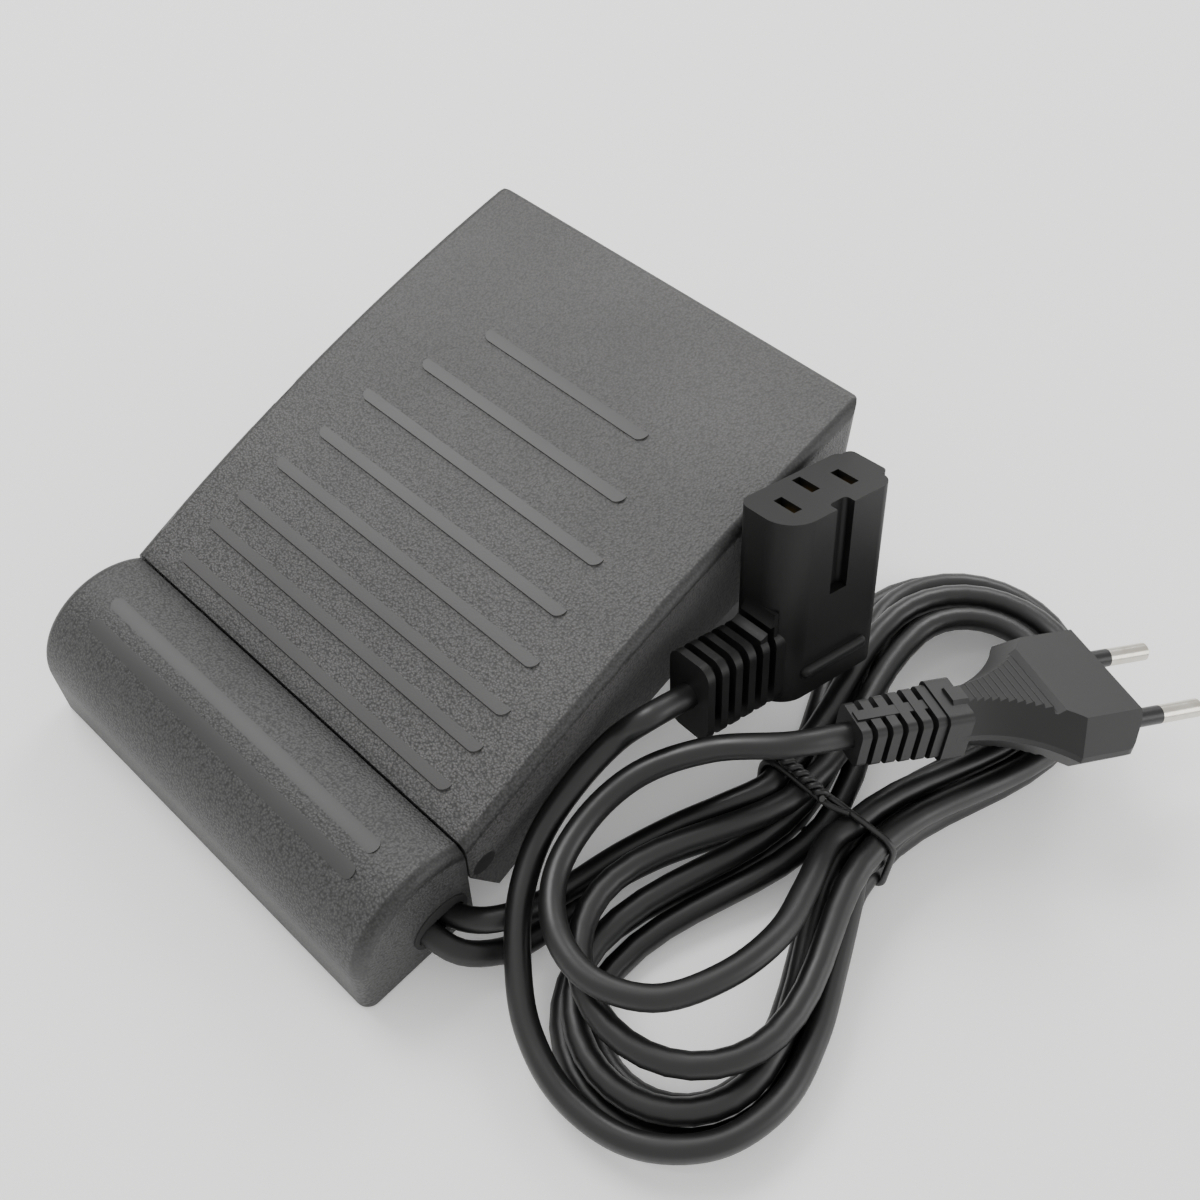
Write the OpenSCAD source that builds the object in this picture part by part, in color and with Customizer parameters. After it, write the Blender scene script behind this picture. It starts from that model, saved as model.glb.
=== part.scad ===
// Foot pedal for a sewing machine: a tray with a half-round heel housing, a sprung treadle
// that works a sliding speed control, and two tied cords with a machine connector and a flat plug.
// Millimetres. X runs across the pedal, Y from heel to toe, Z up from the floor.

/* [Treadle] */
// How far the treadle is pressed down, in degrees
press_angle = 0; // [0:0.5:9]
// Wall thickness of the moulded shells
wall = 2.5; // [2:0.1:2.8]
// Height of the skirt round the treadle
skirt_h = 27; // [24:0.5:28]
// Height of the low ribs on the treadle and the heel
rib_h = 0.35; // [0.2:0.05:0.6]
// Width of those ribs
rib_w = 3.4; // [3:0.2:4.6]

/* [Springs] */
// Wire diameter of the return springs
spring_wire = 1.2; // [0.8:0.1:1.5]
// Turns of each return spring
spring_turns = 10; // [6:1:12]

/* [Electronics] */
// Fins on the heat sink
fin_count = 6; // [3:1:7]

/* [Cords] */
// Outer diameter of both cords
cord_d = 5.5; // [5:0.1:5.5]

/* [Connector and plug] */
// Grooves in the connector's strain relief
relief_grooves = 5; // [3:1:5]
// Finger ridges on each face of the plug
grip_ridges = 10; // [6:1:12]

/* [Hidden] */
$fn = 48;
// treadle surface: an arc about an axis along X
ARC_Y = 148;
ARC_Z = -402;
ARC_R = 473.2;
HALF_W = 55;
SEAM_Y = -45.5;
TOE_Y = 76;
EDGE_R = 2.5;
TOE_R = 6;
// hinge of the treadle
PIVOT_Y = -41.5;
PIVOT_Z = 18;
PIN_R = 2;
PIN_FIT = 0.05;
PIN_HEAD_R = 3;
PIN_HEAD_T = 1.2;
// heel roll
ROLL_Y = -57;
ROLL_Z = 14;
ROLL_R = 19;
HEEL_Y = -76;
BACK_Y = -46;
// base
BASE_Z = 0.8;
BASE_T = 2.5;
FLOOR_Z = BASE_Z + BASE_T;
TRAY_X = 45.2;
TRAY_TOE = 70;
TRAY_WALL = 2.2;
UNDER_X = 52.2;
BACK_LEDGE = 45.5;
// rows of low ribs on the treadle: [Y, half length]
PLATE_RIBS = [[-39, 44], [-30, 44], [-21.5, 43.5], [-11, 41.5],
              [0, 38.5], [12.5, 37], [26, 31], [40, 24.5]];
// ribs on the heel roll, as angles from +Y round the roll
ROLL_RIBS = [94, 114];
ROLL_RIB_HALF = 44;
// cord outlet
OUT_Y = -54.5;
OUT_Z = 10.6;
OUT_W = 14.5;
OUT_H = 13;
CORD_Z = 10;
// return springs
SPRING_X = 34;
SPRING_Y = 40;
SPRING_R = 5.4;
SPRING_TOP = 50;
// plunger and its guide
PLUNGER_X = 32;
PLUNGER_Y = 17.5;
PLUNGER_TOP = 37.4;
GUIDE_TOP = 16;
PLUNGER_DROP = press_angle * 9.5 / 9;
// circuit board
BOARD_Z = 9;
BOARD_T = 1.6;
BOARD_X0 = -38;
BOARD_X1 = 22;
BOARD_Y0 = -34;
BOARD_Y1 = 8;
BOARD_TOP = BOARD_Z + BOARD_T;
BOARD_SCREWS = [[-35, -31], [19, -31], [-35, 5], [19, 5]];
HOUSING_SCREWS = [[-47, -69], [47, -69], [0, -69], [-47, -53]];
FEET = [[-40, -60], [40, -60], [-36, 60], [36, 60]];
// stop hooks at the toe
HOOK_X = 25;
HOOK_W = 12;
// connector and plug poses
CON_POS = [63.6, 46.8, 66];
CON_ROT = [-13.1, 7.6, 80.2];
PLUG_POS = [124, 72.9, 27.2];
PLUG_ROT = [-13, 8, 59.3];
// hanks: centre, waist half width, run and bulge radius at the two ends, pitch of the loops
HANK_X = 99;
HANK_Y = 18;
LOOP_GAP = 0.45;
PITCH = cord_d + LOOP_GAP;
WAIST = 14.4;
WAIST_LIFT = 1.6;
LOOP_STEP = 6.5;
RINGS = 24;
// [far run, far bulge, near run, near bulge, turned by, bottom centre, layers, reversal, loops]
MACHINE_LOOPS = [56, 28.5, 52, 28.5, 3, 2.8, 2, 2, 3.5];
MAINS_LOOPS = [50, 24.5, 44, 27, -3, 2.8 + 2 * 5.95, 1, 9, 1.5];
// routes of the free stretches, from the pedal outwards
MACHINE_IN = [[30, -60.5, 10], [41, -60.5, 10], [50, -58, 10], [56, -57.6, 9.8], [62, -55.5, 8],
              [67.5, -47.5, 5], [69.5, -36.5, 3], [70.5, -25, 2.8], [75, -10, 2.9], [81.5, 3, 3.6]];
MAINS_IN = [[30, -54.5, 10], [41, -54.5, 10], [50, -52, 10], [56, -51.5, 10.2], [62, -48, 11.5],
            [66.5, -40, 11], [68.5, -30, 9.2], [71, -18, 9.2], [75.5, -5, 10.5], [80.5, 4, 13.5]];
MACHINE_OUT = [[112.8, 6.2, 10], [119, -7, 9.3], [124.5, -20, 8.8], [127.4, -34.5, 8.8],
               [123.5, -49, 8.8], [112, -59.5, 8.8], [97, -62, 9.2], [83.5, -58, 10.8],
               [73.5, -50.5, 14], [65.5, -41.5, 17.6], [60.3, -30.5, 21.5], [58.9, -18.5, 26.5],
               [60, -7.5, 31.5]];
MAINS_OUT = [[106, -1, 19], [108.5, -13, 21], [106.5, -27, 21.5], [99.5, -40, 21.5],
             [88, -45.5, 21.5], [77, -43, 21.5], [69, -35, 22], [65.5, -22, 24], [67.5, -9, 28],
             [76, 3, 33]];

// ---------- shared shapes ----------

// profile drawn in Y and Z, drawn out along X from x0 to x1
module along_x(x0, x1) {
  translate([x0, 0, 0]) rotate([90, 0, 90]) linear_extrude(x1 - x0) children();
}

// rod along X
module rod_x(x0, x1, y, z, r) {
  translate([x0, y, z]) rotate([0, 90, 0]) cylinder(h = x1 - x0, r = r);
}

// rod along Y
module rod_y(y0, y1, x, z, r) {
  translate([x, y0, z]) rotate([-90, 0, 0]) cylinder(h = y1 - y0, r = r);
}

// upright rod
module rod_z(z0, z1, x, y, r) {
  translate([x, y, z0]) cylinder(h = z1 - z0, r = r);
}

// box between two corners
module box(a, b) {
  translate(a) cube(b - a);
}

// flat rounded rectangle from corner a to corner b
module round_rect(a, b, r) {
  translate([a[0] + r, a[1]]) square([b[0] - a[0] - 2 * r, b[1] - a[1]]);
  translate([a[0], a[1] + r]) square([b[0] - a[0], b[1] - a[1] - 2 * r]);
  for (x = [a[0] + r, b[0] - r], y = [a[1] + r, b[1] - r]) translate([x, y]) circle(r);
}

// obround with its centre at the origin
module obround(w, h) {
  translate([-(w - h) / 2, -h / 2]) square([w - h, h]);
  for (s = [-1, 1]) translate([s * (w - h) / 2, 0]) circle(h / 2);
}

// plan outline with two rounded corners at the toe
module toe_plan(half_w, y0, y1, r) {
  translate([-half_w, y0]) square([2 * half_w, y1 - r - y0]);
  translate([-half_w + r, y0]) square([2 * (half_w - r), y1 - y0]);
  for (s = [-1, 1]) translate([s * (half_w - r), y1 - r]) circle(r);
}

// section across the treadle: radius along the first axis, width along the second
module arc_section(r0, r1, half_w, fillet) {
  translate([r0, -half_w]) square([r1 - fillet - r0, 2 * half_w]);
  translate([r0, fillet - half_w]) square([r1 - r0, 2 * (half_w - fillet)]);
  for (s = [-1, 1]) translate([r1 - fillet, s * (half_w - fillet)]) circle(fillet);
}

// turns a section about the treadle's arc axis
module arc_sweep() {
  translate([0, ARC_Y, ARC_Z]) rotate([0, -90, 0]) rotate([0, 0, -26])
    rotate_extrude(angle = 19, $fn = 720) children();
}

// height of a circle about the arc axis at a given Y
function arc_z(y, r) = ARC_Z + sqrt(r * r - (y - ARC_Y) * (y - ARC_Y));

// turns a child about the treadle's hinge by the press angle
module pressed() {
  translate([0, PIVOT_Y, PIVOT_Z]) rotate([-press_angle, 0, 0])
    translate([0, -PIVOT_Y, -PIVOT_Z]) children();
}

// ---------- swept tubes ----------

function unit(v) = v / norm(v);
function tangent(p, i) = unit(p[min(i + 1, len(p) - 1)] - p[max(i - 1, 0)]);
function ring(c, t, r, n) =
  let (side = unit(cross(t, [0, 0, 1])), up = cross(side, t))
  [for (k = [0 : n - 1]) let (a = 360 * (k + 0.5) / n) c + r * (cos(a) * side + sin(a) * up)];

// one closed tube of n sides, with a ring at each point
module tube(p, r, n) {
  m = len(p);
  points = [for (i = [0 : m - 1]) each ring(p[i], tangent(p, i), r, n)];
  walls = [for (i = [0 : m - 2], k = [0 : n - 1])
    let (a = i * n + k, b = i * n + (k + 1) % n)
    each [[a, b, b + n], [a, b + n, a + n]]];
  ends = [for (k = [1 : n - 2]) each [[0, k + 1, k], [(m - 1) * n, (m - 1) * n + k, (m - 1) * n + k + 1]]];
  polyhedron(concat(walls, ends) == [] ? [] : points, concat(walls, ends));
}

// coil spring standing on z0, with closed first and last turns
function coil_z(t, turns, h) = t < 1 ? t * 0.35 * h / turns :
  t > turns - 1 ? h - (turns - t) * 0.35 * h / turns :
  0.35 * h / turns + (t - 1) * (h - 0.7 * h / turns) / (turns - 2);
module coil(x, y, z0, z1, r, wire, turns) {
  h = z1 - z0 - wire;
  p = [for (i = [0 : 8 * turns]) let (t = i / 8)
    [x + r * cos(360 * t), y + r * sin(360 * t), z0 + wire / 2 + coil_z(t, turns, h)]];
  tube(p, wire / 2, 6);
}

// ---------- hanks ----------

function ease(t) = (1 - cos(180 * t)) / 2;
// a hank's centre line after u turns: straight runs drawn in at the waist, joined by half circles
function hank_point(h, u) =
  let (f = u - floor(u), far = f < 0.5, g = far ? f : f - 0.5, q = 0.125,
       inward = min(u, 2 * h[7] - u) * LOOP_STEP,
       run = far ? h[0] : h[2], bulge = far ? h[1] : h[3],
       reach = bulge - inward, neck = WAIST - inward, swell = bulge - WAIST,
       a = 180 * (g - q) / (0.5 - 2 * q),
       x = g < q ? -(neck + swell * ease(g / q)) :
           g < 0.5 - q ? -reach * cos(a) : neck + swell * ease((0.5 - g) / q),
       y = g < q ? run * g / q : g < 0.5 - q ? run + reach * sin(a) : run * (0.5 - g) / q,
       lift = WAIST_LIFT * (1 - ease(min(1, y / run))),
       climb = h[6] > 1 ? PITCH * min(1, max(0, (u - h[7] + 0.125) / 0.25)) : 0,
       s = far ? 1 : -1)
  [HANK_X + s * (x * cos(h[4]) - y * sin(h[4])),
   HANK_Y + s * (x * sin(h[4]) + y * cos(h[4])),
   h[5] + climb + lift];
function hank_line(h) = [for (i = [0 : RINGS * h[8]]) hank_point(h, i / RINGS)];
MACHINE_LINE = hank_line(MACHINE_LOOPS);
MAINS_LINE = hank_line(MAINS_LOOPS);
// least distance between points more than a third of a loop apart, less the cord's diameter
function least_gap(p) =
  min([for (i = [0 : len(p) - 1], j = [i + 8 : 1 : len(p) - 1]) norm(p[i] - p[j])]) - cord_d;
function line_length(p) = len(p) < 2 ? 0 :
  [for (i = 0, s = 0; i < len(p) - 1; s = s + norm(p[i + 1] - p[i]), i = i + 1) s + norm(p[i + 1] - p[i])][len(p) - 2];
echo(machine_hank_gap = least_gap(MACHINE_LINE), mains_hank_gap = least_gap(MAINS_LINE));
echo(between_hanks = min([for (a = MACHINE_LINE, b = MAINS_LINE) norm(a - b)]) - cord_d);

// where a cord leaves the strain relief of the connector and of the plug
function turned(v, r) =
  let (a = [v[0], v[1] * cos(r[0]) - v[2] * sin(r[0]), v[1] * sin(r[0]) + v[2] * cos(r[0])],
       b = [a[0] * cos(r[1]) + a[2] * sin(r[1]), a[1], a[2] * cos(r[1]) - a[0] * sin(r[1])])
  [b[0] * cos(r[2]) - b[1] * sin(r[2]), b[0] * sin(r[2]) + b[1] * cos(r[2]), b[2]];
CON_RELIEF = [-33, 0, -36];
PLUG_RELIEF = [-58, 0, 0];
CON_EXIT = CON_POS + turned(CON_RELIEF, CON_ROT);
CON_EXIT_IN = CON_POS + turned(CON_RELIEF - [11, 0, 0], CON_ROT);
PLUG_EXIT = PLUG_POS + turned(PLUG_RELIEF, PLUG_ROT);
PLUG_EXIT_IN = PLUG_POS + turned(PLUG_RELIEF - [12, 0, 0], PLUG_ROT);
function straight_on(p, q, d) = q + d * unit(q - p);
MACHINE_START = MACHINE_LINE[0];
MACHINE_END = MACHINE_LINE[len(MACHINE_LINE) - 1];
MAINS_START = MAINS_LINE[0];
MAINS_END = MAINS_LINE[len(MAINS_LINE) - 1];
MACHINE_IN_LINE = concat(MACHINE_IN,
  [straight_on(MACHINE_LINE[1], MACHINE_START, cord_d), MACHINE_START]);
MAINS_IN_LINE = concat(MAINS_IN, [straight_on(MAINS_LINE[1], MAINS_START, cord_d), MAINS_START]);
MACHINE_OUT_LINE = concat(
  [MACHINE_END, straight_on(MACHINE_LINE[len(MACHINE_LINE) - 2], MACHINE_END, cord_d)],
  MACHINE_OUT, [CON_EXIT_IN, CON_EXIT]);
MAINS_OUT_LINE = concat(
  [MAINS_END, straight_on(MAINS_LINE[len(MAINS_LINE) - 2], MAINS_END, cord_d)],
  MAINS_OUT, [PLUG_EXIT_IN, PLUG_EXIT]);
echo(machine_cord = line_length(MACHINE_IN_LINE) + line_length(MACHINE_LINE)
  + line_length(MACHINE_OUT_LINE));
echo(mains_cord = line_length(MAINS_IN_LINE) + line_length(MAINS_LINE)
  + line_length(MAINS_OUT_LINE));

module mains_lead_in() {
  color("dimgray") tube(MAINS_IN_LINE, cord_d / 2, 8);
}

module mains_hank() {
  color("slategray") tube(MAINS_LINE, cord_d / 2, 6);
}

module mains_lead_out() {
  color("dimgray") tube(MAINS_OUT_LINE, cord_d / 2, 8);
}

module machine_lead_in() {
  color("gray") tube(MACHINE_IN_LINE, cord_d / 2, 8);
}

module machine_hank() {
  color("darkgray") tube(MACHINE_LINE, cord_d / 2, 6);
}

module machine_lead_out() {
  color("gray") tube(MACHINE_OUT_LINE, cord_d / 2, 8);
}

// ---------- treadle ----------

// low rounded rib across the pedal, with round ends: the crown of a rod sunk in a surface
module rib(y, z, half) {
  r = (rib_w * rib_w / 4 + rib_h * rib_h) / (2 * rib_h);
  intersection() {
    rod_x(-half - 1, half + 1, y, z - r + rib_h, r);
    translate([0, y, z - 1.2]) linear_extrude(3) obround(2 * half, rib_w + 0.6);
  }
}

// arc-topped block trimmed at the heel and the toe, with rounded toe corners
module arc_block(r0, r1, half_w, fillet, y0, y1, corner) {
  difference() {
    arc_sweep() arc_section(r0, r1, half_w, fillet);
    box([-70, y0 - 40, -20], [70, y0, 90]);
    box([-70, y1, -20], [70, y1 + 40, 90]);
    for (s = [0, 1]) mirror([s, 0, 0])
      translate([half_w - corner, y1 - corner, -20]) linear_extrude(110) difference() {
        square(corner + 2);
        circle(corner);
      }
  }
}

module treadle_shell() {
  toe_z = arc_z(TOE_Y - EDGE_R, ARC_R - EDGE_R);
  tilt = asin((ARC_Y - TOE_Y + EDGE_R) / (ARC_R - EDGE_R));
  difference() {
    union() {
      arc_block(ARC_R - skirt_h, ARC_R, HALF_W, EDGE_R, SEAM_Y, TOE_Y, TOE_R);
      for (p = PLATE_RIBS) rib(p[0], arc_z(p[0], ARC_R), p[1]);
    }
    arc_block(ARC_R - 45, ARC_R - wall, HALF_W - wall, 1, SEAM_Y - 6, TOE_Y - wall, TOE_R - wall);
    // rounds the top edge of the toe
    along_x(-60, 60) difference() {
      polygon([[TOE_Y - EDGE_R, toe_z], [TOE_Y + 4, toe_z], [TOE_Y + 4, toe_z + 8],
               [TOE_Y - EDGE_R - 8 * sin(tilt), toe_z + 8 * cos(tilt)]]);
      translate([TOE_Y - EDGE_R, toe_z]) circle(EDGE_R);
    }
    // slants the heel ends of the skirt clear of the housing and the floor
    along_x(-60, 60)
      polygon([[SEAM_Y - 2, -12], [SEAM_Y - 2, 17], [SEAM_Y, 17], [-38, 3], [-30, -12]]);
    for (s = [-1, 1]) {
      rod_x(s > 0 ? 50 : -60, s > 0 ? 60 : -50, PIVOT_Y, PIVOT_Z, PIN_R);
      rod_x(s > 0 ? HALF_W - PIN_HEAD_T : -60, s > 0 ? 60 : PIN_HEAD_T - HALF_W,
            PIVOT_Y, PIVOT_Z, PIN_HEAD_R);
    }
  }
}

// stiffening ribs, spring bosses, plunger finger and stop hooks under the plate
module treadle_underside() {
  plate_r = ARC_R - wall + 0.2;
  for (x = [-16, 0, 16]) intersection() {
    arc_sweep() translate([plate_r - 6.2, x - 1]) square([6.2, 2]);
    box([x - 1, -36, 20], [x + 1, TOE_Y - wall + 0.2, 70]);
  }
  intersection() {
    arc_sweep() translate([plate_r - 4.2, 0.2 - HALF_W + wall])
      square([4.2, 2 * (HALF_W - wall - 0.2)]);
    for (y = [-22, 40]) box([-54, y - 1, 20], [54, y + 1, 70]);
  }
  intersection() {
    union() {
      for (s = [-1, 1]) {
        rod_z(SPRING_TOP, 60, s * SPRING_X, SPRING_Y, 7);
        rod_z(SPRING_TOP - 4, 60, s * SPRING_X, SPRING_Y, 3.5);
      }
      // the finger that presses the plunger, with a round tip
      rod_x(PLUNGER_X - 3, PLUNGER_X + 3, PLUNGER_Y, PLUNGER_TOP + 2.8, 2.5);
      box([PLUNGER_X - 3, PLUNGER_Y - 2.5, PLUNGER_TOP + 2.8],
          [PLUNGER_X + 3, PLUNGER_Y + 2.5, 60]);
    }
    arc_sweep() translate([ARC_R - 30, -50]) square([30 - wall + 0.2, 100]);
  }
  for (s = [-1, 1]) along_x(s * HOOK_X - HOOK_W / 2, s * HOOK_X + HOOK_W / 2)
    polygon([[TOE_Y - wall + 0.2, 60], [71.2, 60], [71.2, 28], [68.4, 28], [68.4, 27],
             [70, 25], [TOE_Y - wall, 25], [TOE_Y - wall + 0.2, 40]]);
}

module treadle() {
  color("dimgray") pressed() {
    treadle_shell();
    treadle_underside();
  }
}

module pivot_pin(s) {
  mirror([s < 0 ? 1 : 0, 0, 0]) {
    rod_x(43.5, HALF_W - PIN_HEAD_T + 0.1, PIVOT_Y, PIVOT_Z, PIN_R);
    rod_x(HALF_W - PIN_HEAD_T, HALF_W, PIVOT_Y, PIVOT_Z, PIN_HEAD_R);
  }
}

module pivot_pin_left() {
  color("silver") pivot_pin(-1);
}

module pivot_pin_right() {
  color("silver") pivot_pin(1);
}

// ---------- heel housing ----------

// solid of revolution about the roll's axis with rounded ends, over a block with rounded corners
module heel_block(r, half, y0, y1, z0, fillet) {
  intersection() {
    union() {
      translate([0, ROLL_Y, ROLL_Z]) rotate([0, 90, 0]) rotate_extrude($fn = 120) {
        translate([0, -half]) square([r - fillet, 2 * half]);
        translate([0, fillet - half]) square([r, 2 * (half - fillet)]);
        for (s = [-1, 1]) translate([r - fillet, s * (half - fillet)]) circle(fillet);
      }
      translate([0, 0, z0]) linear_extrude(ROLL_Z - z0) mirror([0, 1, 0])
        toe_plan(half, -y1, -y0, fillet);
    }
    box([-half - 1, y0 - 1, z0], [half + 1, y1, ROLL_Z + r + 1]);
  }
}

module heel_housing() {
  color("dimgray") {
    difference() {
      union() {
        heel_block(ROLL_R, HALF_W, HEEL_Y, BACK_Y, BASE_Z, 3);
        for (a = ROLL_RIBS)
          translate([0, ROLL_Y, ROLL_Z]) rotate([a - 90, 0, 0]) rib(0, ROLL_R, ROLL_RIB_HALF);
      }
      difference() {
        heel_block(ROLL_R - wall, HALF_W - wall, HEEL_Y + wall, BACK_Y - wall, BASE_Z - 1, 1);
        for (p = HOUSING_SCREWS) rod_z(6.1, 40, p[0], p[1], 3.5);
      }
      // the base plate passes under the back wall
      box([-BACK_LEDGE, BACK_Y - wall - 1, BASE_Z - 1], [BACK_LEDGE, BACK_Y + 1, FLOOR_Z + 0.1]);
      // way through the back wall for the wires
      along_y_slot();
      // cord outlet
      translate([HALF_W - 6, OUT_Y, OUT_Z]) rotate([90, 0, 90]) linear_extrude(12)
        obround(OUT_W, OUT_H);
      for (p = HOUSING_SCREWS) rod_z(5, 20, p[0], p[1], 1.25);
    }
  }
}

module along_y_slot() {
  translate([-14, BACK_Y + 1, 8]) rotate([90, 0, 0]) linear_extrude(wall + 2) obround(18, 6);
}

module outlet_grommet() {
  color("black") difference() {
    union() {
      translate([HALF_W - wall - 0.1, OUT_Y, OUT_Z]) rotate([90, 0, 90])
        linear_extrude(wall + 0.4) obround(OUT_W, OUT_H);
      intersection() {
        translate([HALF_W - wall - 1.6, OUT_Y, OUT_Z]) rotate([90, 0, 90]) linear_extrude(1.6)
          obround(OUT_W + 3, OUT_H + 1);
        box([HALF_W - 10, OUT_Y - 20, 0], [HALF_W, BACK_Y - wall - 0.1, 30]);
      }
    }
    translate([HALF_W - 8, OUT_Y, CORD_Z]) rotate([90, 0, 90]) linear_extrude(12)
      obround(cord_d + 6.6, cord_d + 0.6);
  }
}

// ---------- base ----------

module base_floor() {
  linear_extrude(BASE_T) {
    mirror([0, 1, 0]) toe_plan(UNDER_X, 48.8, 73.2, 2);
    toe_plan(TRAY_X, -50, TRAY_TOE, 5);
  }
}

module tray_walls() {
  intersection() {
    linear_extrude(60) difference() {
      toe_plan(TRAY_X, SEAM_Y, TRAY_TOE, 5);
      toe_plan(TRAY_X - TRAY_WALL, SEAM_Y - 5, TRAY_TOE - TRAY_WALL, 5 - TRAY_WALL);
    }
    along_x(-60, 60) polygon([[-50, 0], [80, 0], [80, 37.8], [-50, 14.2]]);
  }
}

module pivot_lug(s) {
  mirror([s < 0 ? 1 : 0, 0, 0]) {
    rod_x(43, HALF_W - wall - 0.8, PIVOT_Y, PIVOT_Z, 4);
    box([43, SEAM_Y, BASE_Z + 1], [TRAY_X, PIVOT_Y + 4, PIVOT_Z]);
  }
}

module base_tray() {
  color("gray") difference() {
    union() {
      translate([0, 0, BASE_Z]) base_floor();
      translate([0, 0, BASE_Z]) tray_walls();
      for (s = [-1, 1]) pivot_lug(s);
      // centring posts of the return springs
      for (s = [-1, 1]) rod_z(BASE_Z + 1, 9, s * SPRING_X, SPRING_Y, 3.5);
      // plunger guide
      rod_z(BASE_Z + 1, GUIDE_TOP, PLUNGER_X, PLUNGER_Y, 4.5);
      // board posts
      for (p = BOARD_SCREWS) rod_z(BASE_Z + 1, BOARD_Z, p[0], p[1], 3);
      // screw pads under the housing
      for (p = HOUSING_SCREWS) rod_z(BASE_Z + 1, 6, p[0], p[1], 4);
      // cord clamp post, ledge and saddle
      rod_z(BASE_Z + 1, 12.8, 37, -67, 3.5);
      box([34, -51.2, BASE_Z + 1], [40, -49.2, 12.8]);
      box([35, -64, BASE_Z + 1], [39, -51, 7.1]);
      // grooved ribs that hold the track plate
      for (x = [23, 41]) box([x - 1.5, 24.5, BASE_Z + 1], [x + 1.5, 29.1, 12]);
    }
    for (s = [-1, 1])
      rod_x(s > 0 ? 42 : -60, s > 0 ? 60 : -42, PIVOT_Y, PIVOT_Z, PIN_R + PIN_FIT);
    rod_z(-1, GUIDE_TOP + 1, PLUNGER_X, PLUNGER_Y, 2.08);
    for (p = BOARD_SCREWS) rod_z(4, BOARD_Z + 1, p[0], p[1], 1.1);
    for (p = HOUSING_SCREWS) {
      rod_z(-1, 7, p[0], p[1], 1.6);
      rod_z(-1, 2.2, p[0], p[1], 3.2);
    }
    rod_z(6, 14, 37, -67, 1.1);
    for (p = FEET) rod_z(-1, 1.6, p[0], p[1], 6);
    box([23.9, 26, 3], [40.1, 27.6, 13]);
    // vents below the circuit board
    for (s = [-1, 1], i = [0 : 4])
      translate([s * 18 - 8, -27 + 6.5 * i, -1]) linear_extrude(6) obround(20, 3);
    // windows for the stop hooks
    for (s = [-1, 1]) box([s * HOOK_X - HOOK_W / 2 - 1, 66, 6],
                          [s * HOOK_X + HOOK_W / 2 + 1, 72, 28.3]);
  }
}

module rubber_feet() {
  color("black") for (p = FEET) {
    rod_z(0.4, 1.6, p[0], p[1], 6);
    rod_z(0, 0.5, p[0], p[1], 5.5);
  }
}

module housing_screws() {
  color("silver") for (p = HOUSING_SCREWS) difference() {
    union() {
      rod_z(0.9, 2.2, p[0], p[1], 3);
      rod_z(2.1, 17, p[0], p[1], 1.25);
    }
    translate([p[0], p[1], 0]) for (a = [0, 90]) rotate([0, 0, a])
      translate([-2, -0.4, 0]) cube([4, 0.8, 1.6]);
  }
}

// ---------- springs and plunger ----------

module return_spring(s) {
  color("silver") coil(s * SPRING_X, SPRING_Y, FLOOR_Z + 0.1, SPRING_TOP - 0.3, SPRING_R,
                       spring_wire, spring_turns);
}

module return_spring_left() {
  return_spring(-1);
}

module return_spring_right() {
  return_spring(1);
}

module plunger_spring() {
  color("silver") coil(PLUNGER_X, PLUNGER_Y, GUIDE_TOP + 0.1, PLUNGER_TOP - 3.1, 3.4, 0.7, 6);
}

module plunger() {
  color("ivory") translate([0, 0, -PLUNGER_DROP]) {
    rod_z(11, PLUNGER_TOP - 2.9, PLUNGER_X, PLUNGER_Y, 2);
    rod_z(PLUNGER_TOP - 3, PLUNGER_TOP, PLUNGER_X, PLUNGER_Y, 5);
  }
}

// leaf that leaves the plunger's head and bends to the carbon track
module wiper_arm() {
  color("gold") translate([0, 0, -PLUNGER_DROP])
    along_x(PLUNGER_X - 2, PLUNGER_X + 2)
      polygon([[PLUNGER_Y + 5, PLUNGER_TOP - 2.4], [24.4, PLUNGER_TOP - 2.4], [25.5, PLUNGER_TOP - 5],
               [25.5, PLUNGER_TOP - 7], [24.9, PLUNGER_TOP - 7], [24.9, PLUNGER_TOP - 5.2],
               [24, PLUNGER_TOP - 3], [PLUNGER_Y + 5, PLUNGER_TOP - 3]]);
}

module track_plate() {
  color("peru") box([24, 26, FLOOR_Z], [40, 27.6, 36]);
}

module carbon_track() {
  color("black") box([PLUNGER_X - 3, 25.8, 18], [PLUNGER_X + 3, 26, 34]);
}

// ---------- electronics ----------

module circuit_board() {
  color("darkgreen") difference() {
    translate([0, 0, BOARD_Z]) linear_extrude(BOARD_T)
      round_rect([BOARD_X0, BOARD_Y0], [BOARD_X1, BOARD_Y1], 2);
    for (p = BOARD_SCREWS) rod_z(BOARD_Z - 1, BOARD_TOP + 1, p[0], p[1], 1.3);
  }
}

module board_screws() {
  color("silver") for (p = BOARD_SCREWS) difference() {
    union() {
      rod_z(5, BOARD_TOP + 0.1, p[0], p[1], 1.1);
      rod_z(BOARD_TOP, BOARD_TOP + 1.6, p[0], p[1], 2.3);
    }
    translate([p[0] - 2.4, p[1] - 0.35, BOARD_TOP + 0.9]) cube([4.8, 0.7, 2]);
  }
}

module heat_sink() {
  color("silver") {
    box([-30, 0, BOARD_TOP], [-6, 2, 26]);
    for (i = [0 : fin_count - 1])
      translate([-30 + i * 22.8 / (fin_count - 1), 1.9, BOARD_TOP]) cube([1.2, 5, 15.4]);
  }
}

module triac() {
  color("black") difference() {
    union() {
      box([-23, -4.4, 13], [-13, -1.2, 20]);
      box([-23, -1.3, 13], [-13, 0, 25.5]);
      for (x = [-20.5, -18, -15.5]) rod_z(BOARD_TOP, 13.1, x, -2.6, 0.4);
    }
    rod_y(-2, 1, -18, 22.8, 1.6);
  }
}

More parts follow.
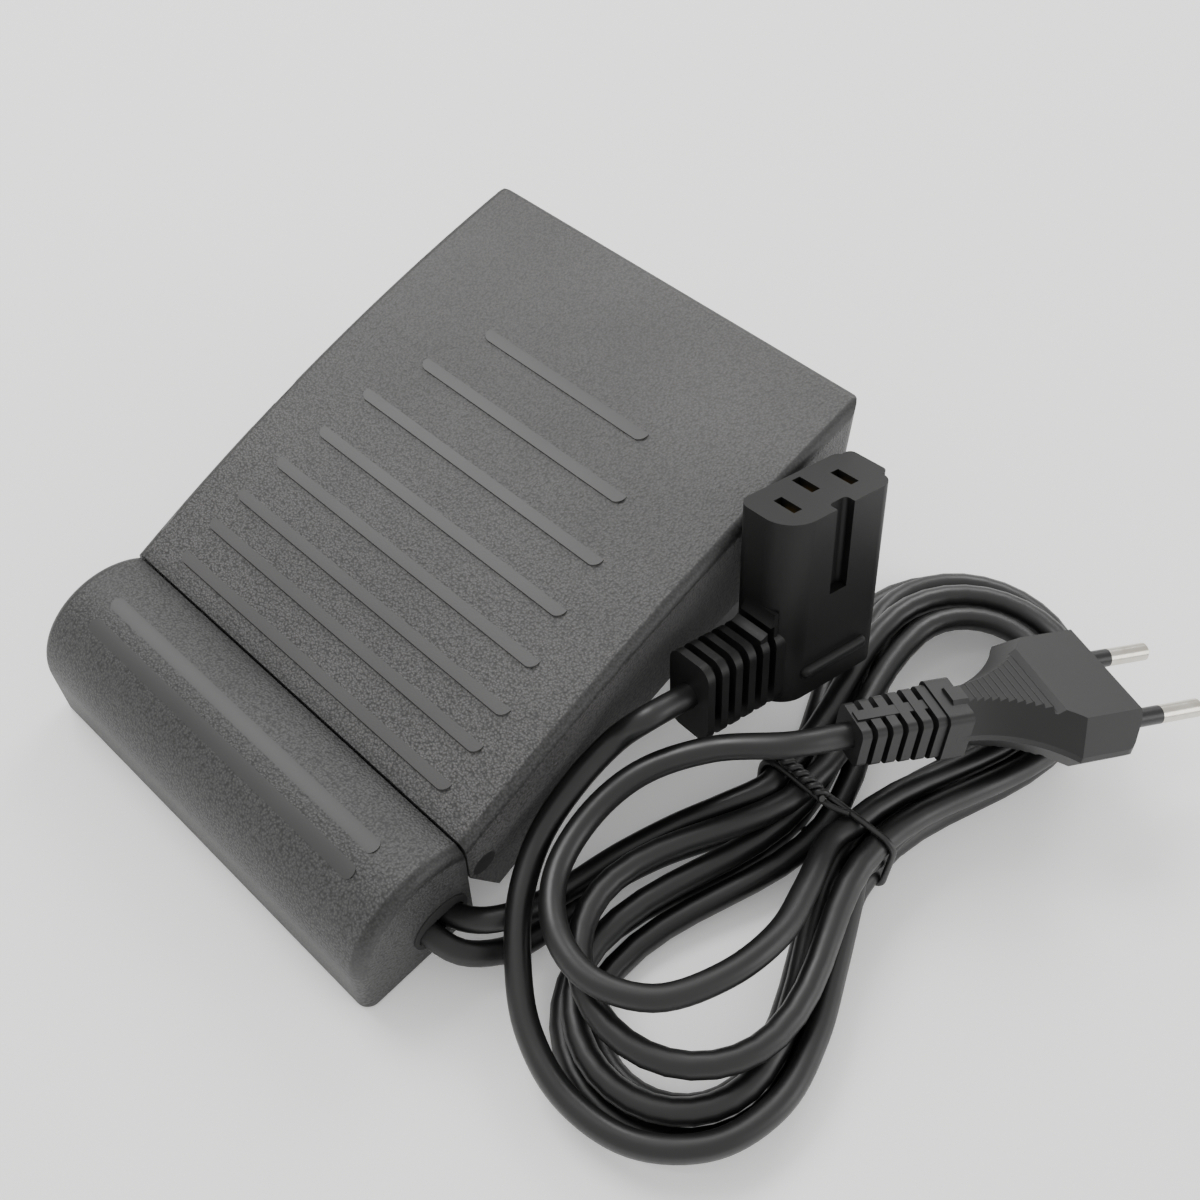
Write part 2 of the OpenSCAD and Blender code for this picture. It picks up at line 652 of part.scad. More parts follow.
// wound choke: two flanges with the winding between them
module choke() {
  color("chocolate") {
    rod_z(BOARD_TOP, BOARD_TOP + 1.5, 8, -10, 9);
    rod_z(BOARD_TOP + 9.5, BOARD_TOP + 11, 8, -10, 9);
    rod_z(BOARD_TOP + 1, BOARD_TOP + 10, 8, -10, 8);
  }
}

module capacitor() {
  color("orange") translate([0, 0, BOARD_TOP]) linear_extrude(12.5)
    round_rect([-4, -32], [14, -23.5], 1);
}

module resistors() {
  color("tan") for (y = [-27, -20, -13]) {
    rod_x(-28, -19, y, 12.9, 1.6);
    rod_x(-32, -15, y, 12.9, 0.35);
    for (x = [-32, -15]) {
      rod_z(BOARD_TOP, 12.9, x, y, 0.35);
      translate([x, y, 12.9]) sphere(0.35);
    }
  }
}

module terminal_block() {
  color("whitesmoke") difference() {
    box([0, -65, FLOOR_Z], [18, -50, 14]);
    for (x = [4.5, 13.5], y = [-61, -54]) rod_z(9, 15, x, y, 1.8);
  }
}

module terminal_screws() {
  color("silver") for (x = [4.5, 13.5], y = [-61, -54]) difference() {
    rod_z(9, 12.5, x, y, 1.5);
    translate([x - 2, y - 0.3, 11.6]) cube([4, 0.6, 2]);
  }
}

// cores from the cut ends of the two cords to the terminal block
module core_wires() {
  color("blue") for (y = [-60.5, -54.5], s = [-1, 1]) rod_x(18, 30, y + 1.3 * s, CORD_Z, 0.9);
}

// insulated wires from the block, through the back wall, to the underside of the board
module board_wires() {
  color("firebrick") for (i = [0 : 3]) {
    x = -20 + 4 * i;
    y = -62 + 3 * i;
    rod_x(x, 0, y, 8, 0.8);
    translate([x, y, 8]) sphere(0.8);
    rod_y(y, -32, x, 8, 0.8);
    translate([x, -32, 8]) sphere(0.8);
    rod_z(8, BOARD_Z, x, -32, 0.8);
  }
}

module cord_clamp() {
  color("black") difference() {
    box([33, -71, 12.8], [41, -49.2, 15.4]);
    rod_z(12, 16, 37, -67, 1.4);
  }
}

module clamp_screw() {
  color("silver") difference() {
    union() {
      rod_z(7, 15.5, 37, -67, 1.1);
      rod_z(15.4, 17, 37, -67, 2.5);
    }
    translate([34, -67.35, 16.2]) cube([6, 0.7, 2]);
  }
}

// ---------- machine connector: U across the slots, W out of the face ----------

CON_HALF_U = 14.5;
CON_HALF_V = 7.5;
CON_H = 46;
CON_ROUND = 7;
RELIEF_H = 19.5;
RELIEF_ROUND = 3.2;
SLOT_U = 7.9;
SLOTS = [[-7.9, 0], [0, 3], [7.9, 0]];

// plan of the connector's block: one corner is much rounder than the others
module connector_plan() {
  u = CON_HALF_U;
  v = CON_HALF_V;
  difference() {
    round_rect([-u, -v], [u, v], 3);
    translate([-u - 1, -v - 1]) square([CON_ROUND + 1, CON_ROUND + 1]);
  }
  intersection() {
    translate([CON_ROUND - u, CON_ROUND - v]) circle(CON_ROUND, $fn = 72);
    translate([-u, -v]) square([CON_ROUND + 0.5, CON_ROUND + 0.5]);
  }
}

module connector_body() {
  relief_top = RELIEF_H - CON_H;
  color("black") translate(CON_POS) rotate(CON_ROT) difference() {
    union() {
      difference() {
        translate([0, 0, -CON_H]) linear_extrude(CON_H) connector_plan();
        // keyway
        translate([0, 0, -21]) linear_extrude(22)
          round_rect([-1.7, -CON_HALF_V - 3], [3.1, 2.4 - CON_HALF_V], 1);
      }
      // collar at the far end of the slot row
      translate([0, 0, -16]) linear_extrude(15.9)
        round_rect([CON_HALF_U - 6, -4], [CON_HALF_U + 2, 6.6], 1.5);
      // strain relief, grooved, with a core through it
      translate([-33, 0, 0]) rotate([90, 0, 90]) linear_extrude(23)
        round_rect([-6, -CON_H], [6, relief_top], RELIEF_ROUND);
      // fillet between the block and the relief
      rotate([90, 0, 0]) translate([0, 0, -4]) linear_extrude(9) difference() {
        translate([-CON_HALF_U - 4, relief_top - 1]) square([5, 6]);
        translate([-CON_HALF_U - 5, relief_top + 5]) circle(5);
      }
      // finger bar across the lower front
      rod_x(-7, 9, -CON_HALF_V, -39, 1.5);
      for (u = [-7, 9]) translate([u, -CON_HALF_V, -39]) sphere(1.5);
    }
    for (i = [0 : relief_grooves - 1])
      translate([-31.1 + i * 3.7, 0, 0]) rotate([90, 0, 90]) linear_extrude(1.8) difference() {
        translate([-8, -CON_H - 2]) square([16, RELIEF_H + 4]);
        round_rect([-3.9, 2.2 - CON_H], [3.9, relief_top - 2.2], RELIEF_ROUND - 1.4);
      }
    for (p = SLOTS) box([p[0] - 1.1, p[1] - 2.9, -16], [p[0] + 1.1, p[1] + 2.9, 1]);
  }
}

// spring contacts at the foot of each slot
module connector_contacts() {
  color("gold") translate(CON_POS) rotate(CON_ROT) for (p = SLOTS, s = [-1, 1])
    translate([p[0] + s * 0.8, p[1], -9]) cube([0.5, 4.4, 13.8], center = true);
}

// ---------- mains plug: U along the pins, W up ----------

// takes the point off a corner of a flat outline: corner, then a point along each side of it
module blunted(p, q, s, r) {
  a = unit(q - p);
  b = unit(s - p);
  half = acos(a * b) / 2;
  t = r / tan(half);
  c = p + unit(a + b) * r / sin(half);
  difference() {
    polygon([p - 0.5 * unit(a + b), p + a * t - 0.5 * (c - p - a * t) / r, c,
             p + b * t - 0.5 * (c - p - b * t) / r]);
    translate(c) circle(r);
  }
}

// plan of the body, from the relief to the pin face
PLUG_SIDE = [[-37, 6.6], [-34, 8], [-15, 17.65], [-3, 17.65], [0, 14], [0, 0]];
module plug_plan() {
  for (s = [0, 1]) mirror([0, s]) difference() {
    polygon(concat([[-37, -0.1]], PLUG_SIDE, [[0, -0.1]]));
    for (i = [2 : 4]) blunted(PLUG_SIDE[i], PLUG_SIDE[i - 1], PLUG_SIDE[i + 1], 2.4);
  }
}

// cross section with flat top and bottom and sloping sides
module plug_section() {
  polygon([[-17.65, 0.7], [-12.8, 6.85], [12.8, 6.85], [17.65, 0.7],
           [17.65, -0.7], [12.8, -6.85], [-12.8, -6.85], [-17.65, -0.7]]);
}

module plug_body() {
  color("black") translate(PLUG_POS) rotate(PLUG_ROT) difference() {
    union() {
      difference() {
        intersection() {
          translate([0, 0, -8]) linear_extrude(16) plug_plan();
          rotate([90, 0, 90]) translate([0, 0, -38]) linear_extrude(39) plug_section();
        }
        // hollow sides that slope as the section does
        for (s = [-1, 1]) translate([-36, s * 32.2, 0]) rotate_extrude($fn = 144)
          polygon([[0, -8], [31.2, -8], [25.6, -0.7], [25.6, 0.7], [31.2, 8], [0, 8]]);
      }
      // neck between the body and the relief
      translate([-39.5, 0, 0]) rotate([90, 0, 90]) linear_extrude(5.5)
        round_rect([-6.6, -6], [6.6, 6], 1.6);
      // relief: ribs on a core
      translate([-58, 0, 0]) rotate([90, 0, 90]) linear_extrude(22)
        round_rect([-3.6, -3.4], [3.6, 3.4], 1.5);
      for (i = [0 : 5]) translate([-58 + 3.25 * i, 0, 0]) rotate([90, 0, 90])
        linear_extrude(2.1) round_rect([-5.2 - 0.15 * i, -4.8 - 0.15 * i],
                                       [5.2 + 0.15 * i, 4.8 + 0.15 * i], 1.6);
      for (s = [-1, 1]) box([-57.5, -1.3, s > 0 ? 3 : -5.2], [-37, 1.3, s > 0 ? 5.2 : -3]);
    }
    // finger ridges: shallow saw cuts across both faces, and a deeper one before the head
    for (s = [0, 1]) mirror([0, 0, s]) {
      for (i = [0 : grip_ridges - 1])
        translate([-33.5 + i * 14.4 / (grip_ridges - 1), 0, 6.85]) rotate([90, 0, 0])
          translate([0, 0, -13.5]) linear_extrude(27)
            polygon([[0, 1], [0, -0.7], [1.4, -0.1], [1.4, 1]]);
      translate([-17.6, 0, 6.85]) rotate([90, 0, 0]) translate([0, 0, -14]) linear_extrude(28)
        polygon([[0, 1], [0, -1.1], [0.5, -1.1], [2, 0], [2, 1]]);
    }
    for (s = [-1, 1]) rod_x(-12, 1, s * 9.3, 0, 2);
  }
}

module plug_pins() {
  color("silver") translate(PLUG_POS) rotate(PLUG_ROT) for (s = [-1, 1]) {
    rod_x(-12, 9, s * 9.3, 0, 1.6);
    rod_x(9, 18.4, s * 9.3, 0, 2);
    translate([18.4, s * 9.3, 0]) rotate([0, 90, 0]) cylinder(h = 0.6, r1 = 2, r2 = 1.4);
  }
}

module pin_sleeves() {
  color("black") translate(PLUG_POS) rotate(PLUG_ROT) for (s = [-1, 1]) difference() {
    rod_x(-12, 9, s * 9.3, 0, 2);
    rod_x(-13, 10, s * 9.3, 0, 1.6);
  }
}

// ---------- twist tie ----------

TIE_R = 0.65;
TIE_CORNER = cord_d / 2 + 0.85;
TIE_X0 = MACHINE_START[0] - TIE_CORNER;
TIE_X1 = MACHINE_END[0] + TIE_CORNER;
TIE_LOW = MACHINE_START[2] - TIE_CORNER;
TIE_HIGH = MAINS_START[2] + TIE_CORNER;

// quarter bend of the tie, turned in the X and Z plane
module tie_bend(a) {
  rotate([0, -a, 0]) rotate([90, 0, 0]) rotate_extrude(angle = 90, $fn = 48)
    translate([TIE_CORNER, 0]) circle(TIE_R, $fn = 24);
}

module twist_tie() {
  x0 = TIE_X0 + TIE_CORNER;
  x1 = TIE_X1 - TIE_CORNER;
  z0 = TIE_LOW + TIE_CORNER;
  z1 = TIE_HIGH - TIE_CORNER;
  color("black") translate([0, HANK_Y, 0]) {
    rod_x(x0, x1, 0, TIE_LOW, TIE_R);
    rod_x(x0, x1, 0, TIE_HIGH, TIE_R);
    rod_z(z0, z1, TIE_X0, 0, TIE_R);
    rod_z(z0, z1, TIE_X1, 0, TIE_R);
    translate([x1, 0, z1]) tie_bend(0);
    translate([x0, 0, z1]) tie_bend(90);
    translate([x0, 0, z0]) tie_bend(180);
    translate([x1, 0, z0]) tie_bend(270);
  }
}

base_tray();
heel_housing();
treadle();
pivot_pin_left();
pivot_pin_right();
return_spring_left();
return_spring_right();
plunger();
plunger_spring();
wiper_arm();
track_plate();
carbon_track();
circuit_board();
triac();
heat_sink();
choke();
capacitor();
resistors();
board_screws();
terminal_block();
terminal_screws();
core_wires();
board_wires();
cord_clamp();
clamp_screw();
outlet_grommet();
housing_screws();
rubber_feet();
connector_body();
connector_contacts();
plug_body();
plug_pins();
pin_sleeves();
twist_tie();
mains_lead_in();
mains_hank();
mains_lead_out();
machine_lead_in();
machine_hank();
machine_lead_out();
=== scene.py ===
"""Looks for a sewing machine foot pedal with two tied cords, a machine connector and a flat plug.

Metres. X runs across the pedal, Y from heel to toe, Z up from the floor.
"""

import logging
import math
from dataclasses import dataclass
from enum import Enum
from typing import Optional, Protocol, Sequence, Union

import bpy
from mathutils import Euler, Matrix, Vector


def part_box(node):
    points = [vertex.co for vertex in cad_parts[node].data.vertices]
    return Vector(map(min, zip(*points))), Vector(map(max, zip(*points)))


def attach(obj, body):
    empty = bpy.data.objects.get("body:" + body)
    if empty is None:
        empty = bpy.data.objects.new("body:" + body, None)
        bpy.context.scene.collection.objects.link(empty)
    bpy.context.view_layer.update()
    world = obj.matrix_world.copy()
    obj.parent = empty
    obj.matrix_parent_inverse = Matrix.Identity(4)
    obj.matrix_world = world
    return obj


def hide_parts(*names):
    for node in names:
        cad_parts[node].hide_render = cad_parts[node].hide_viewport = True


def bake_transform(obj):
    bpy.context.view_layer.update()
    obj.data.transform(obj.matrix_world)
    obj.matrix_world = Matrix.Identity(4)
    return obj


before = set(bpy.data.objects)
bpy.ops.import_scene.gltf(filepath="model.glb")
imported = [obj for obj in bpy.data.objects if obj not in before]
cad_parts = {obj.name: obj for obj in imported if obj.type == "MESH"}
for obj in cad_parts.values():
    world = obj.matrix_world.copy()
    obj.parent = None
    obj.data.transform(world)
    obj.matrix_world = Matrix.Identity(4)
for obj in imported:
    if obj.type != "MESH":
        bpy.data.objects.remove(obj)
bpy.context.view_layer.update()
LOG = logging.getLogger("pedal")
MM = 0.001
Triple = tuple[float, float, float]
Tree = bpy.types.NodeTree
Node = bpy.types.Node
# what a link can start from: an output, or a node, which stands for its first output
Source = Union[Node, bpy.types.NodeSocket]


# ---------- colours and nodes ----------


def linear(hex_colour: str) -> tuple[float, float, float, float]:
    """Turns an sRGB hex colour to linear light.

    Args:
        hex_colour: A colour such as "#2e2e2f".

    Returns:
        Red, green, blue and an alpha of 1.
    """
    parts = [int(hex_colour[i : i + 2], 16) / 255 for i in (1, 3, 5)]
    red, green, blue = (p / 12.92 if p <= 0.04045 else ((p + 0.055) / 1.055) ** 2.4 for p in parts)
    return red, green, blue, 1.0


def connect(
    tree: Tree, node: Node, settings: Optional[dict] = None, links: Optional[dict] = None
) -> None:
    """Sets a node's values and links its inputs.

    Args:
        tree: The node tree that holds the node.
        node: The node.
        settings: Values for input sockets, by socket name or number.
        links: What feeds the inputs, by input socket name or number.
    """
    for key, value in (settings or {}).items():
        node.inputs[key].default_value = value
    for key, source in (links or {}).items():
        output = source.outputs[0] if isinstance(source, Node) else source
        tree.links.new(output, node.inputs[key])


def add(
    tree: Tree,
    kind: str,
    settings: Optional[dict] = None,
    links: Optional[dict] = None,
    **attributes: object,
) -> Node:
    """Adds a node with its settings and links.

    Args:
        tree: The node tree that gets the node.
        kind: Blender's name of the node type, without the "ShaderNode" in front.
        settings: Values for input sockets, by socket name or number.
        links: What feeds the inputs, by input socket name or number.
        attributes: Values for the node's own properties.

    Returns:
        The new node.
    """
    node = tree.nodes.new(f"ShaderNode{kind}")
    for key, value in attributes.items():
        setattr(node, key, value)
    connect(tree, node, settings, links)
    return node


def set_stops(ramp: Node, *stops: tuple[float, str]) -> None:
    """Sets where the tones of a colour ramp stand.

    Args:
        ramp: The ramp's node.
        stops: A position from 0 to 1 and an sRGB hex colour for each tone.
    """
    for element, (position, colour) in zip(ramp.color_ramp.elements, stops):
        element.position = position
        element.color = linear(colour)


class Finish(Protocol):
    """A finish that a piece can be dressed in."""

    name: str

    def shade(self, tree: Tree, shader: Node) -> None:
        """Sets the shader and the nodes in front of it."""


def material_of(finish: Finish) -> bpy.types.Material:
    """Makes a finish's material once, and gives the same one after that.

    Args:
        finish: The finish to make.

    Returns:
        The material with its node tree.
    """
    found = bpy.data.materials.get(finish.name)
    if found is not None:
        return found
    material = bpy.data.materials.new(finish.name)
    material.use_nodes = True
    tree = material.node_tree
    finish.shade(tree, tree.nodes["Principled BSDF"])
    return material


# ---------- finishes ----------


class Crown(Enum):
    """The round surfaces that carry low ribs: axis Y, axis Z and radius, in metres."""

    PLATE = (0.148, -0.402, 0.4732)
    ROLL = (-0.057, 0.014, 0.019)


@dataclass(frozen=True)
class Spot:
    """Where a shaded point lies on a crowned shell, as the nodes that tell it.

    The arm runs from the crown's axis to the point, and the reach is its length. Above is 1 over
    the axis. The rise is the height over the middle of the edge's rounding, next to 0 under it.
    """

    place: Source
    x: Source
    y: Source
    arm: Source
    reach: Source
    above: Source
    rise: Source


@dataclass(frozen=True)
class GrainedShell:
    """ABS, injection moulded in an etched tool: a fine pebble between ribs left smooth.

    The pebble scatters the light to an even grey with darker pits. The ribs and the long
    edges were not etched, so they read as smooth bands. The edges carry painted shade, a touch
    darker.
    """

    name: str
    crown: Crown
    colour: str = "#424141"
    worn_colour: str = "#4c4b4b"
    roughness: float = 0.56
    smooth_roughness: float = 0.5
    pebble_mm: float = 0.5
    pebble_depth_mm: float = 0.13
    pebble_stray_mm: float = 0.6
    fine_share: float = 0.25
    smooth_strength: float = 0.08
    crown_shade: float = 1.58
    pit_shade: float = 0.34
    rubbed_shade: float = 0.95
    rubbed_from_mm: float = -30
    rubbed_to_mm: float = 60
    rib_shade: float = 0.8
    painted_edge_shade: float = 0.42
    crease_shade: float = 0.62
    rib_start_mm: float = 0.04
    rib_full_mm: float = 0.12
    half_width_mm: float = 55
    edge_mm: float = 2.5
    toe_mm: float = 76
    toe_round_mm: float = 6
    seam_mm: float = -45.75

    def shade(self, tree: Tree, shader: Node) -> None:
        """Sets the pebble, its smooth ribs and edges, and the faint rubbed patches.

        Args:
            tree: The material's node tree.
            shader: Its Principled shader.
        """
        spot = self.spot(tree)
        raised = self.raised(tree, spot)
        border = self.border(tree, spot)
        smooth = add(tree, "Math", links={0: raised, 1: border}, operation="MAXIMUM")
        height = self.pebble(tree, spot)
        etched = add(
            tree, "MapRange", {"To Min": 1.0, "To Max": self.smooth_strength}, {"Value": smooth}
        )
        bump = add(
            tree,
            "Bump",
            {"Distance": self.pebble_depth_mm * MM},
            {"Height": height, "Strength": etched, "Normal": self.polished(tree, spot)},
            invert=True,
        )
        gloss = add(
            tree,
            "MapRange",
            {"To Min": self.roughness, "To Max": self.smooth_roughness},
            {"Value": smooth},
        )
        patch = add(tree, "TexNoise", {"Scale": 22, "Detail": 4}, {"Vector": spot.place})
        tone = add(tree, "ValToRGB", links={"Fac": patch})
        set_stops(tone, (0.35, self.colour), (0.75, self.worn_colour))
        grey = add(
            tree,
            "VectorMath",
            links={0: tone, "Scale": self.depth(tree, spot, height, raised, border)},
            operation="SCALE",
        )
        connect(
            tree, shader, {"IOR": 1.53}, {"Base Color": grey, "Roughness": gloss, "Normal": bump}
        )

    def spot(self, tree: Tree) -> Spot:
        """Finds where a point lies on the crown.

        Args:
            tree: The material's node tree.

        Returns:
            The point's place and its place about the crown's axis.
        """
        axis_y, axis_z, radius = self.crown.value
        place = add(tree, "TexCoord").outputs["Object"]
        parts = add(tree, "SeparateXYZ", links={0: place})
        arm = add(
            tree,
            "VectorMath",
            {1: (0, 1, 1), 2: (0, -axis_y, -axis_z)},
            {0: place},
            operation="MULTIPLY_ADD",
        )
        reach = add(tree, "VectorMath", links={0: arm}, operation="LENGTH")
        above = add(
            tree,
            "MapRange",
            {"From Min": axis_z + 1 * MM, "From Max": axis_z + 3 * MM},
            {"Value": parts.outputs["Z"]},
        )
        over = add(
            tree,
            "Math",
            {1: radius - self.edge_mm * MM},
            {0: reach.outputs["Value"]},
            operation="SUBTRACT",
        )
        # never quite 0, so that the direction taken from it stays defined on the walls
        rise = add(tree, "Math", {1: 1e-6}, {0: over}, operation="MAXIMUM")
        return Spot(
            place, parts.outputs["X"], parts.outputs["Y"], arm, reach.outputs["Value"], above, rise
        )

    def raised(self, tree: Tree, spot: Spot) -> Source:
        """Marks the ribs, which stand a little out of the crown.

        Args:
            tree: The material's node tree.
            spot: The point's place.

        Returns:
            1 on a rib, 0 beside it.
        """
        radius = self.crown.value[2]
        rib = add(
            tree,
            "MapRange",
            {
                "From Min": radius + self.rib_start_mm * MM,
                "From Max": radius + self.rib_full_mm * MM,
            },
            {"Value": spot.reach},
            interpolation_type="SMOOTHSTEP",
        )
        return add(tree, "Math", links={0: rib, 1: spot.above}, operation="MULTIPLY")

    def border(self, tree: Tree, spot: Spot) -> Source:
        """Marks the rounded edges.

        Args:
            tree: The material's node tree.
            spot: The point's place.

        Returns:
            1 along the edges, 0 on the top and on the walls.
        """
        across = add(tree, "Math", links={0: spot.x}, operation="ABSOLUTE")
        past_side, past_toe = (
            add(tree, "Math", {1: (limit - self.edge_mm) * MM}, {0: way}, operation="SUBTRACT")
            for way, limit in ((across, self.half_width_mm), (spot.y, self.toe_mm))
        )
        past = add(tree, "Math", links={0: past_side, 1: past_toe}, operation="MAXIMUM")
        mark = spot.above
        for way in (past, spot.rise):
            turning = add(
                tree,
                "MapRange",
                {"From Min": 0.1 * MM, "From Max": 0.6 * MM},
                {"Value": way},
                interpolation_type="SMOOTHSTEP",
            )
            mark = add(tree, "Math", links={0: mark, 1: turning}, operation="MULTIPLY")
        return mark

    def pebble(self, tree: Tree, spot: Spot) -> Source:
        """Draws the etched grain: pebbles pulled out of round by a slow noise.

        Args:
            tree: The material's node tree.
            spot: The point's place.

        Returns:
            The grain's depth, from 0 on a pebble's crown to about 1 in a pit.
        """
        stray = add(tree, "TexNoise", {"Scale": 900, "Detail": 2}, {"Vector": spot.place})
        bent = add(
            tree,
            "VectorMath",
            {1: (self.pebble_stray_mm * MM,) * 3},
            {0: stray.outputs["Color"], 2: spot.place},
            operation="MULTIPLY_ADD",
        )
        pebble = add(
            tree,
            "TexVoronoi",
            {"Scale": 1 / (self.pebble_mm * MM), "Smoothness": 0.6},
            {"Vector": bent},
            feature="SMOOTH_F1",
        )
        fine = add(tree, "TexNoise", {"Scale": 2600, "Detail": 3}, {"Vector": spot.place})
        return add(
            tree, "Math", {1: self.fine_share}, {0: fine, 2: pebble}, operation="MULTIPLY_ADD"
        )

    def depth(
        self, tree: Tree, spot: Spot, height: Source, raised: Source, border: Source
    ) -> Source:
        """Finds how deep the tone is on the grain and the ribs, on the edges with painted shade,
        and in the crease.

        Args:
            tree: The material's node tree.
            spot: The point's place.
            height: The grain's depth.
            raised: 1 on a rib.
            border: 1 along an edge.

        Returns:
            A factor for the shell's tone.
        """
        # pits between the pebbles hold dust and shade, so they are darker than the crowns
        pits = add(
            tree,
            "MapRange",
            {
                "From Min": 0.25,
                "From Max": 0.85,
                "To Min": self.crown_shade,
                "To Max": self.pit_shade,
            },
            {"Value": height},
        )
        # the foot rubs the grain down towards the toe
        rubbed = add(
            tree,
            "MapRange",
            {
                "From Min": self.rubbed_from_mm * MM,
                "From Max": self.rubbed_to_mm * MM,
                "To Max": 0.5,
            },
            {"Value": spot.y},
        )
        grained = add(tree, "Mix", {"B": self.rubbed_shade}, {"Factor": rubbed, "A": pits})
        ribbed = add(tree, "Mix", {"B": self.rib_shade}, {"Factor": raised, "A": grained})
        # painted shade along the long edges' rounding, where it turns away from the light
        rolled = add(
            tree, "MapRange", {"To Min": 1.0, "To Max": self.painted_edge_shade}, {"Value": border}
        )
        past_seam = add(tree, "Math", {1: self.seam_mm * MM}, {0: spot.y}, operation="SUBTRACT")
        from_seam = add(tree, "Math", links={0: past_seam}, operation="ABSOLUTE")
        # dust and shade gather in the crease between the two shells
        crease = add(
            tree,
            "MapRange",
            {
                "From Min": 0.3 * MM,
                "From Max": 3.5 * MM,
                "To Min": self.crease_shade,
                "To Max": 1.0,
            },
            {"Value": from_seam},
            interpolation_type="SMOOTHSTEP",
        )
        depth = ribbed
        for part in (rolled, crease):
            depth = add(tree, "Math", links={0: depth, 1: part}, operation="MULTIPLY")
        return depth

    def polished(self, tree: Tree, spot: Spot) -> Source:
        """Finds the surface direction of the crown and its rounded long edges.

        The toolmaker's polish makes each crown one even surface: ribs barely stand out of it,
        and an edge turns over without facets.

        Args:
            tree: The material's node tree.
            spot: The point's place.

        Returns:
            The direction, which is the mesh's own away from the crown.
        """
        flank = (self.half_width_mm - self.edge_mm) * MM
        radial = add(tree, "VectorMath", links={0: spot.arm}, operation="NORMALIZE")
        middle = add(tree, "Clamp", {"Min": -flank, "Max": flank}, {"Value": spot.x})
        past = add(tree, "Math", links={0: spot.x, 1: middle}, operation="SUBTRACT")
        outward = add(tree, "CombineXYZ", links={"X": past})
        turned = add(tree, "VectorMath", links={0: radial, "Scale": spot.rise}, operation="SCALE")
        both = add(tree, "VectorMath", links={0: turned, 1: outward}, operation="ADD")
        world = add(
            tree,
            "VectorTransform",
            links={0: both},
            vector_type="NORMAL",
            convert_from="OBJECT",
            convert_to="WORLD",
        )
        even = add(tree, "VectorMath", links={0: world}, operation="NORMALIZE")
        mesh = add(tree, "NewGeometry").outputs["Normal"]
        match = add(tree, "VectorMath", links={0: even, 1: mesh}, operation="DOT_PRODUCT")
        agrees = add(
            tree,
            "MapRange",
            {"From Min": 0.55, "From Max": 0.7, "To Max": 0.92},
            {"Value": match.outputs["Value"]},
        )
        # the toe's own rounding keeps the mesh's direction
        toe_starts = self.toe_mm - self.toe_round_mm
        before_toe = add(
            tree,
            "MapRange",
            {"From Min": toe_starts * MM, "From Max": (toe_starts - 1) * MM},
            {"Value": spot.y},
        )
        share = spot.above
        for part in (agrees, before_toe):
            share = add(tree, "Math", links={0: share, 1: part}, operation="MULTIPLY")
        # the mix node's vectors go in at 4 and 5 and come out at 1
        mixed = add(tree, "Mix", links={"Factor": share, 4: mesh, 5: even}, data_type="VECTOR")
        return mixed.outputs[1]


@dataclass(frozen=True)
class MouldedPart:
    """A thermoplastic or rubber part, moulded with a fine spark-eroded surface.

    The fine grain breaks up the highlight, and the slow change of tone keeps it from looking drawn.
    """

    name: str
    colour: str
    second_colour: str
    roughness: float
    grain_mm: float = 0.5
    depth_mm: float = 0.02
    ior: float = 1.5

    def shade(self, tree: Tree, shader: Node) -> None:
        """Sets the grain and the slow change of tone.

        Args:
            tree: The material's node tree.
            shader: Its Principled shader.
        """
        place = add(tree, "TexCoord").outputs["Object"]
        patch = add(tree, "TexNoise", {"Scale": 60, "Detail": 3}, {"Vector": place})
        tone = add(tree, "ValToRGB", links={"Fac": patch})
        set_stops(tone, (0.3, self.colour), (0.8, self.second_colour))
        grain = add(
            tree,
            "TexNoise",
            {"Scale": 1 / (self.grain_mm * MM), "Detail": 3, "Roughness": 0.6},
            {"Vector": place},
        )
        gloss = add(
            tree,
            "MapRange",
            {"To Min": self.roughness - 0.05, "To Max": self.roughness + 0.07},
            {"Value": grain},
        )
        bump = add(
            tree, "Bump", {"Strength": 0.6, "Distance": self.depth_mm * MM}, {"Height": grain}
        )
        connect(
            tree,
            shader,
            {"IOR": self.ior},
            {"Base Color": tone, "Roughness": gloss, "Normal": bump},
        )


@dataclass(frozen=True)
class WorkedMetal:
    """A drawn, rolled, plated or milled metal with fine tool marks along one direction."""

    name: str
    colour: str
    second_colour: str
    roughness: float
    marks_mm: float = 0.12
    along: Triple = (1.0, 0.08, 1.0)

    def shade(self, tree: Tree, shader: Node) -> None:
        """Sets the tool marks, and the tarnish that dulls parts of the surface.

        Args:
            tree: The material's node tree.
            shader: Its Principled shader.
        """
        place = add(tree, "TexCoord").outputs["Object"]
        drawn = add(tree, "VectorMath", {1: self.along}, {0: place}, operation="MULTIPLY")
        marks = add(
            tree, "TexNoise", {"Scale": 1 / (self.marks_mm * MM), "Detail": 2}, {"Vector": drawn}
        )
        patch = add(tree, "TexNoise", {"Scale": 260, "Detail": 3}, {"Vector": place})
        tone = add(tree, "ValToRGB", links={"Fac": patch})
        set_stops(tone, (0.35, self.colour), (0.75, self.second_colour))
        gloss = add(
            tree,
            "MapRange",
            {"To Min": self.roughness - 0.06, "To Max": self.roughness + 0.1},
            {"Value": marks},
        )
        bump = add(tree, "Bump", {"Strength": 0.35, "Distance": 0.01 * MM}, {"Height": marks})
        connect(
            tree,
            shader,
            {"Metallic": 1.0},
            {"Base Color": tone, "Roughness": gloss, "Normal": bump},
        )


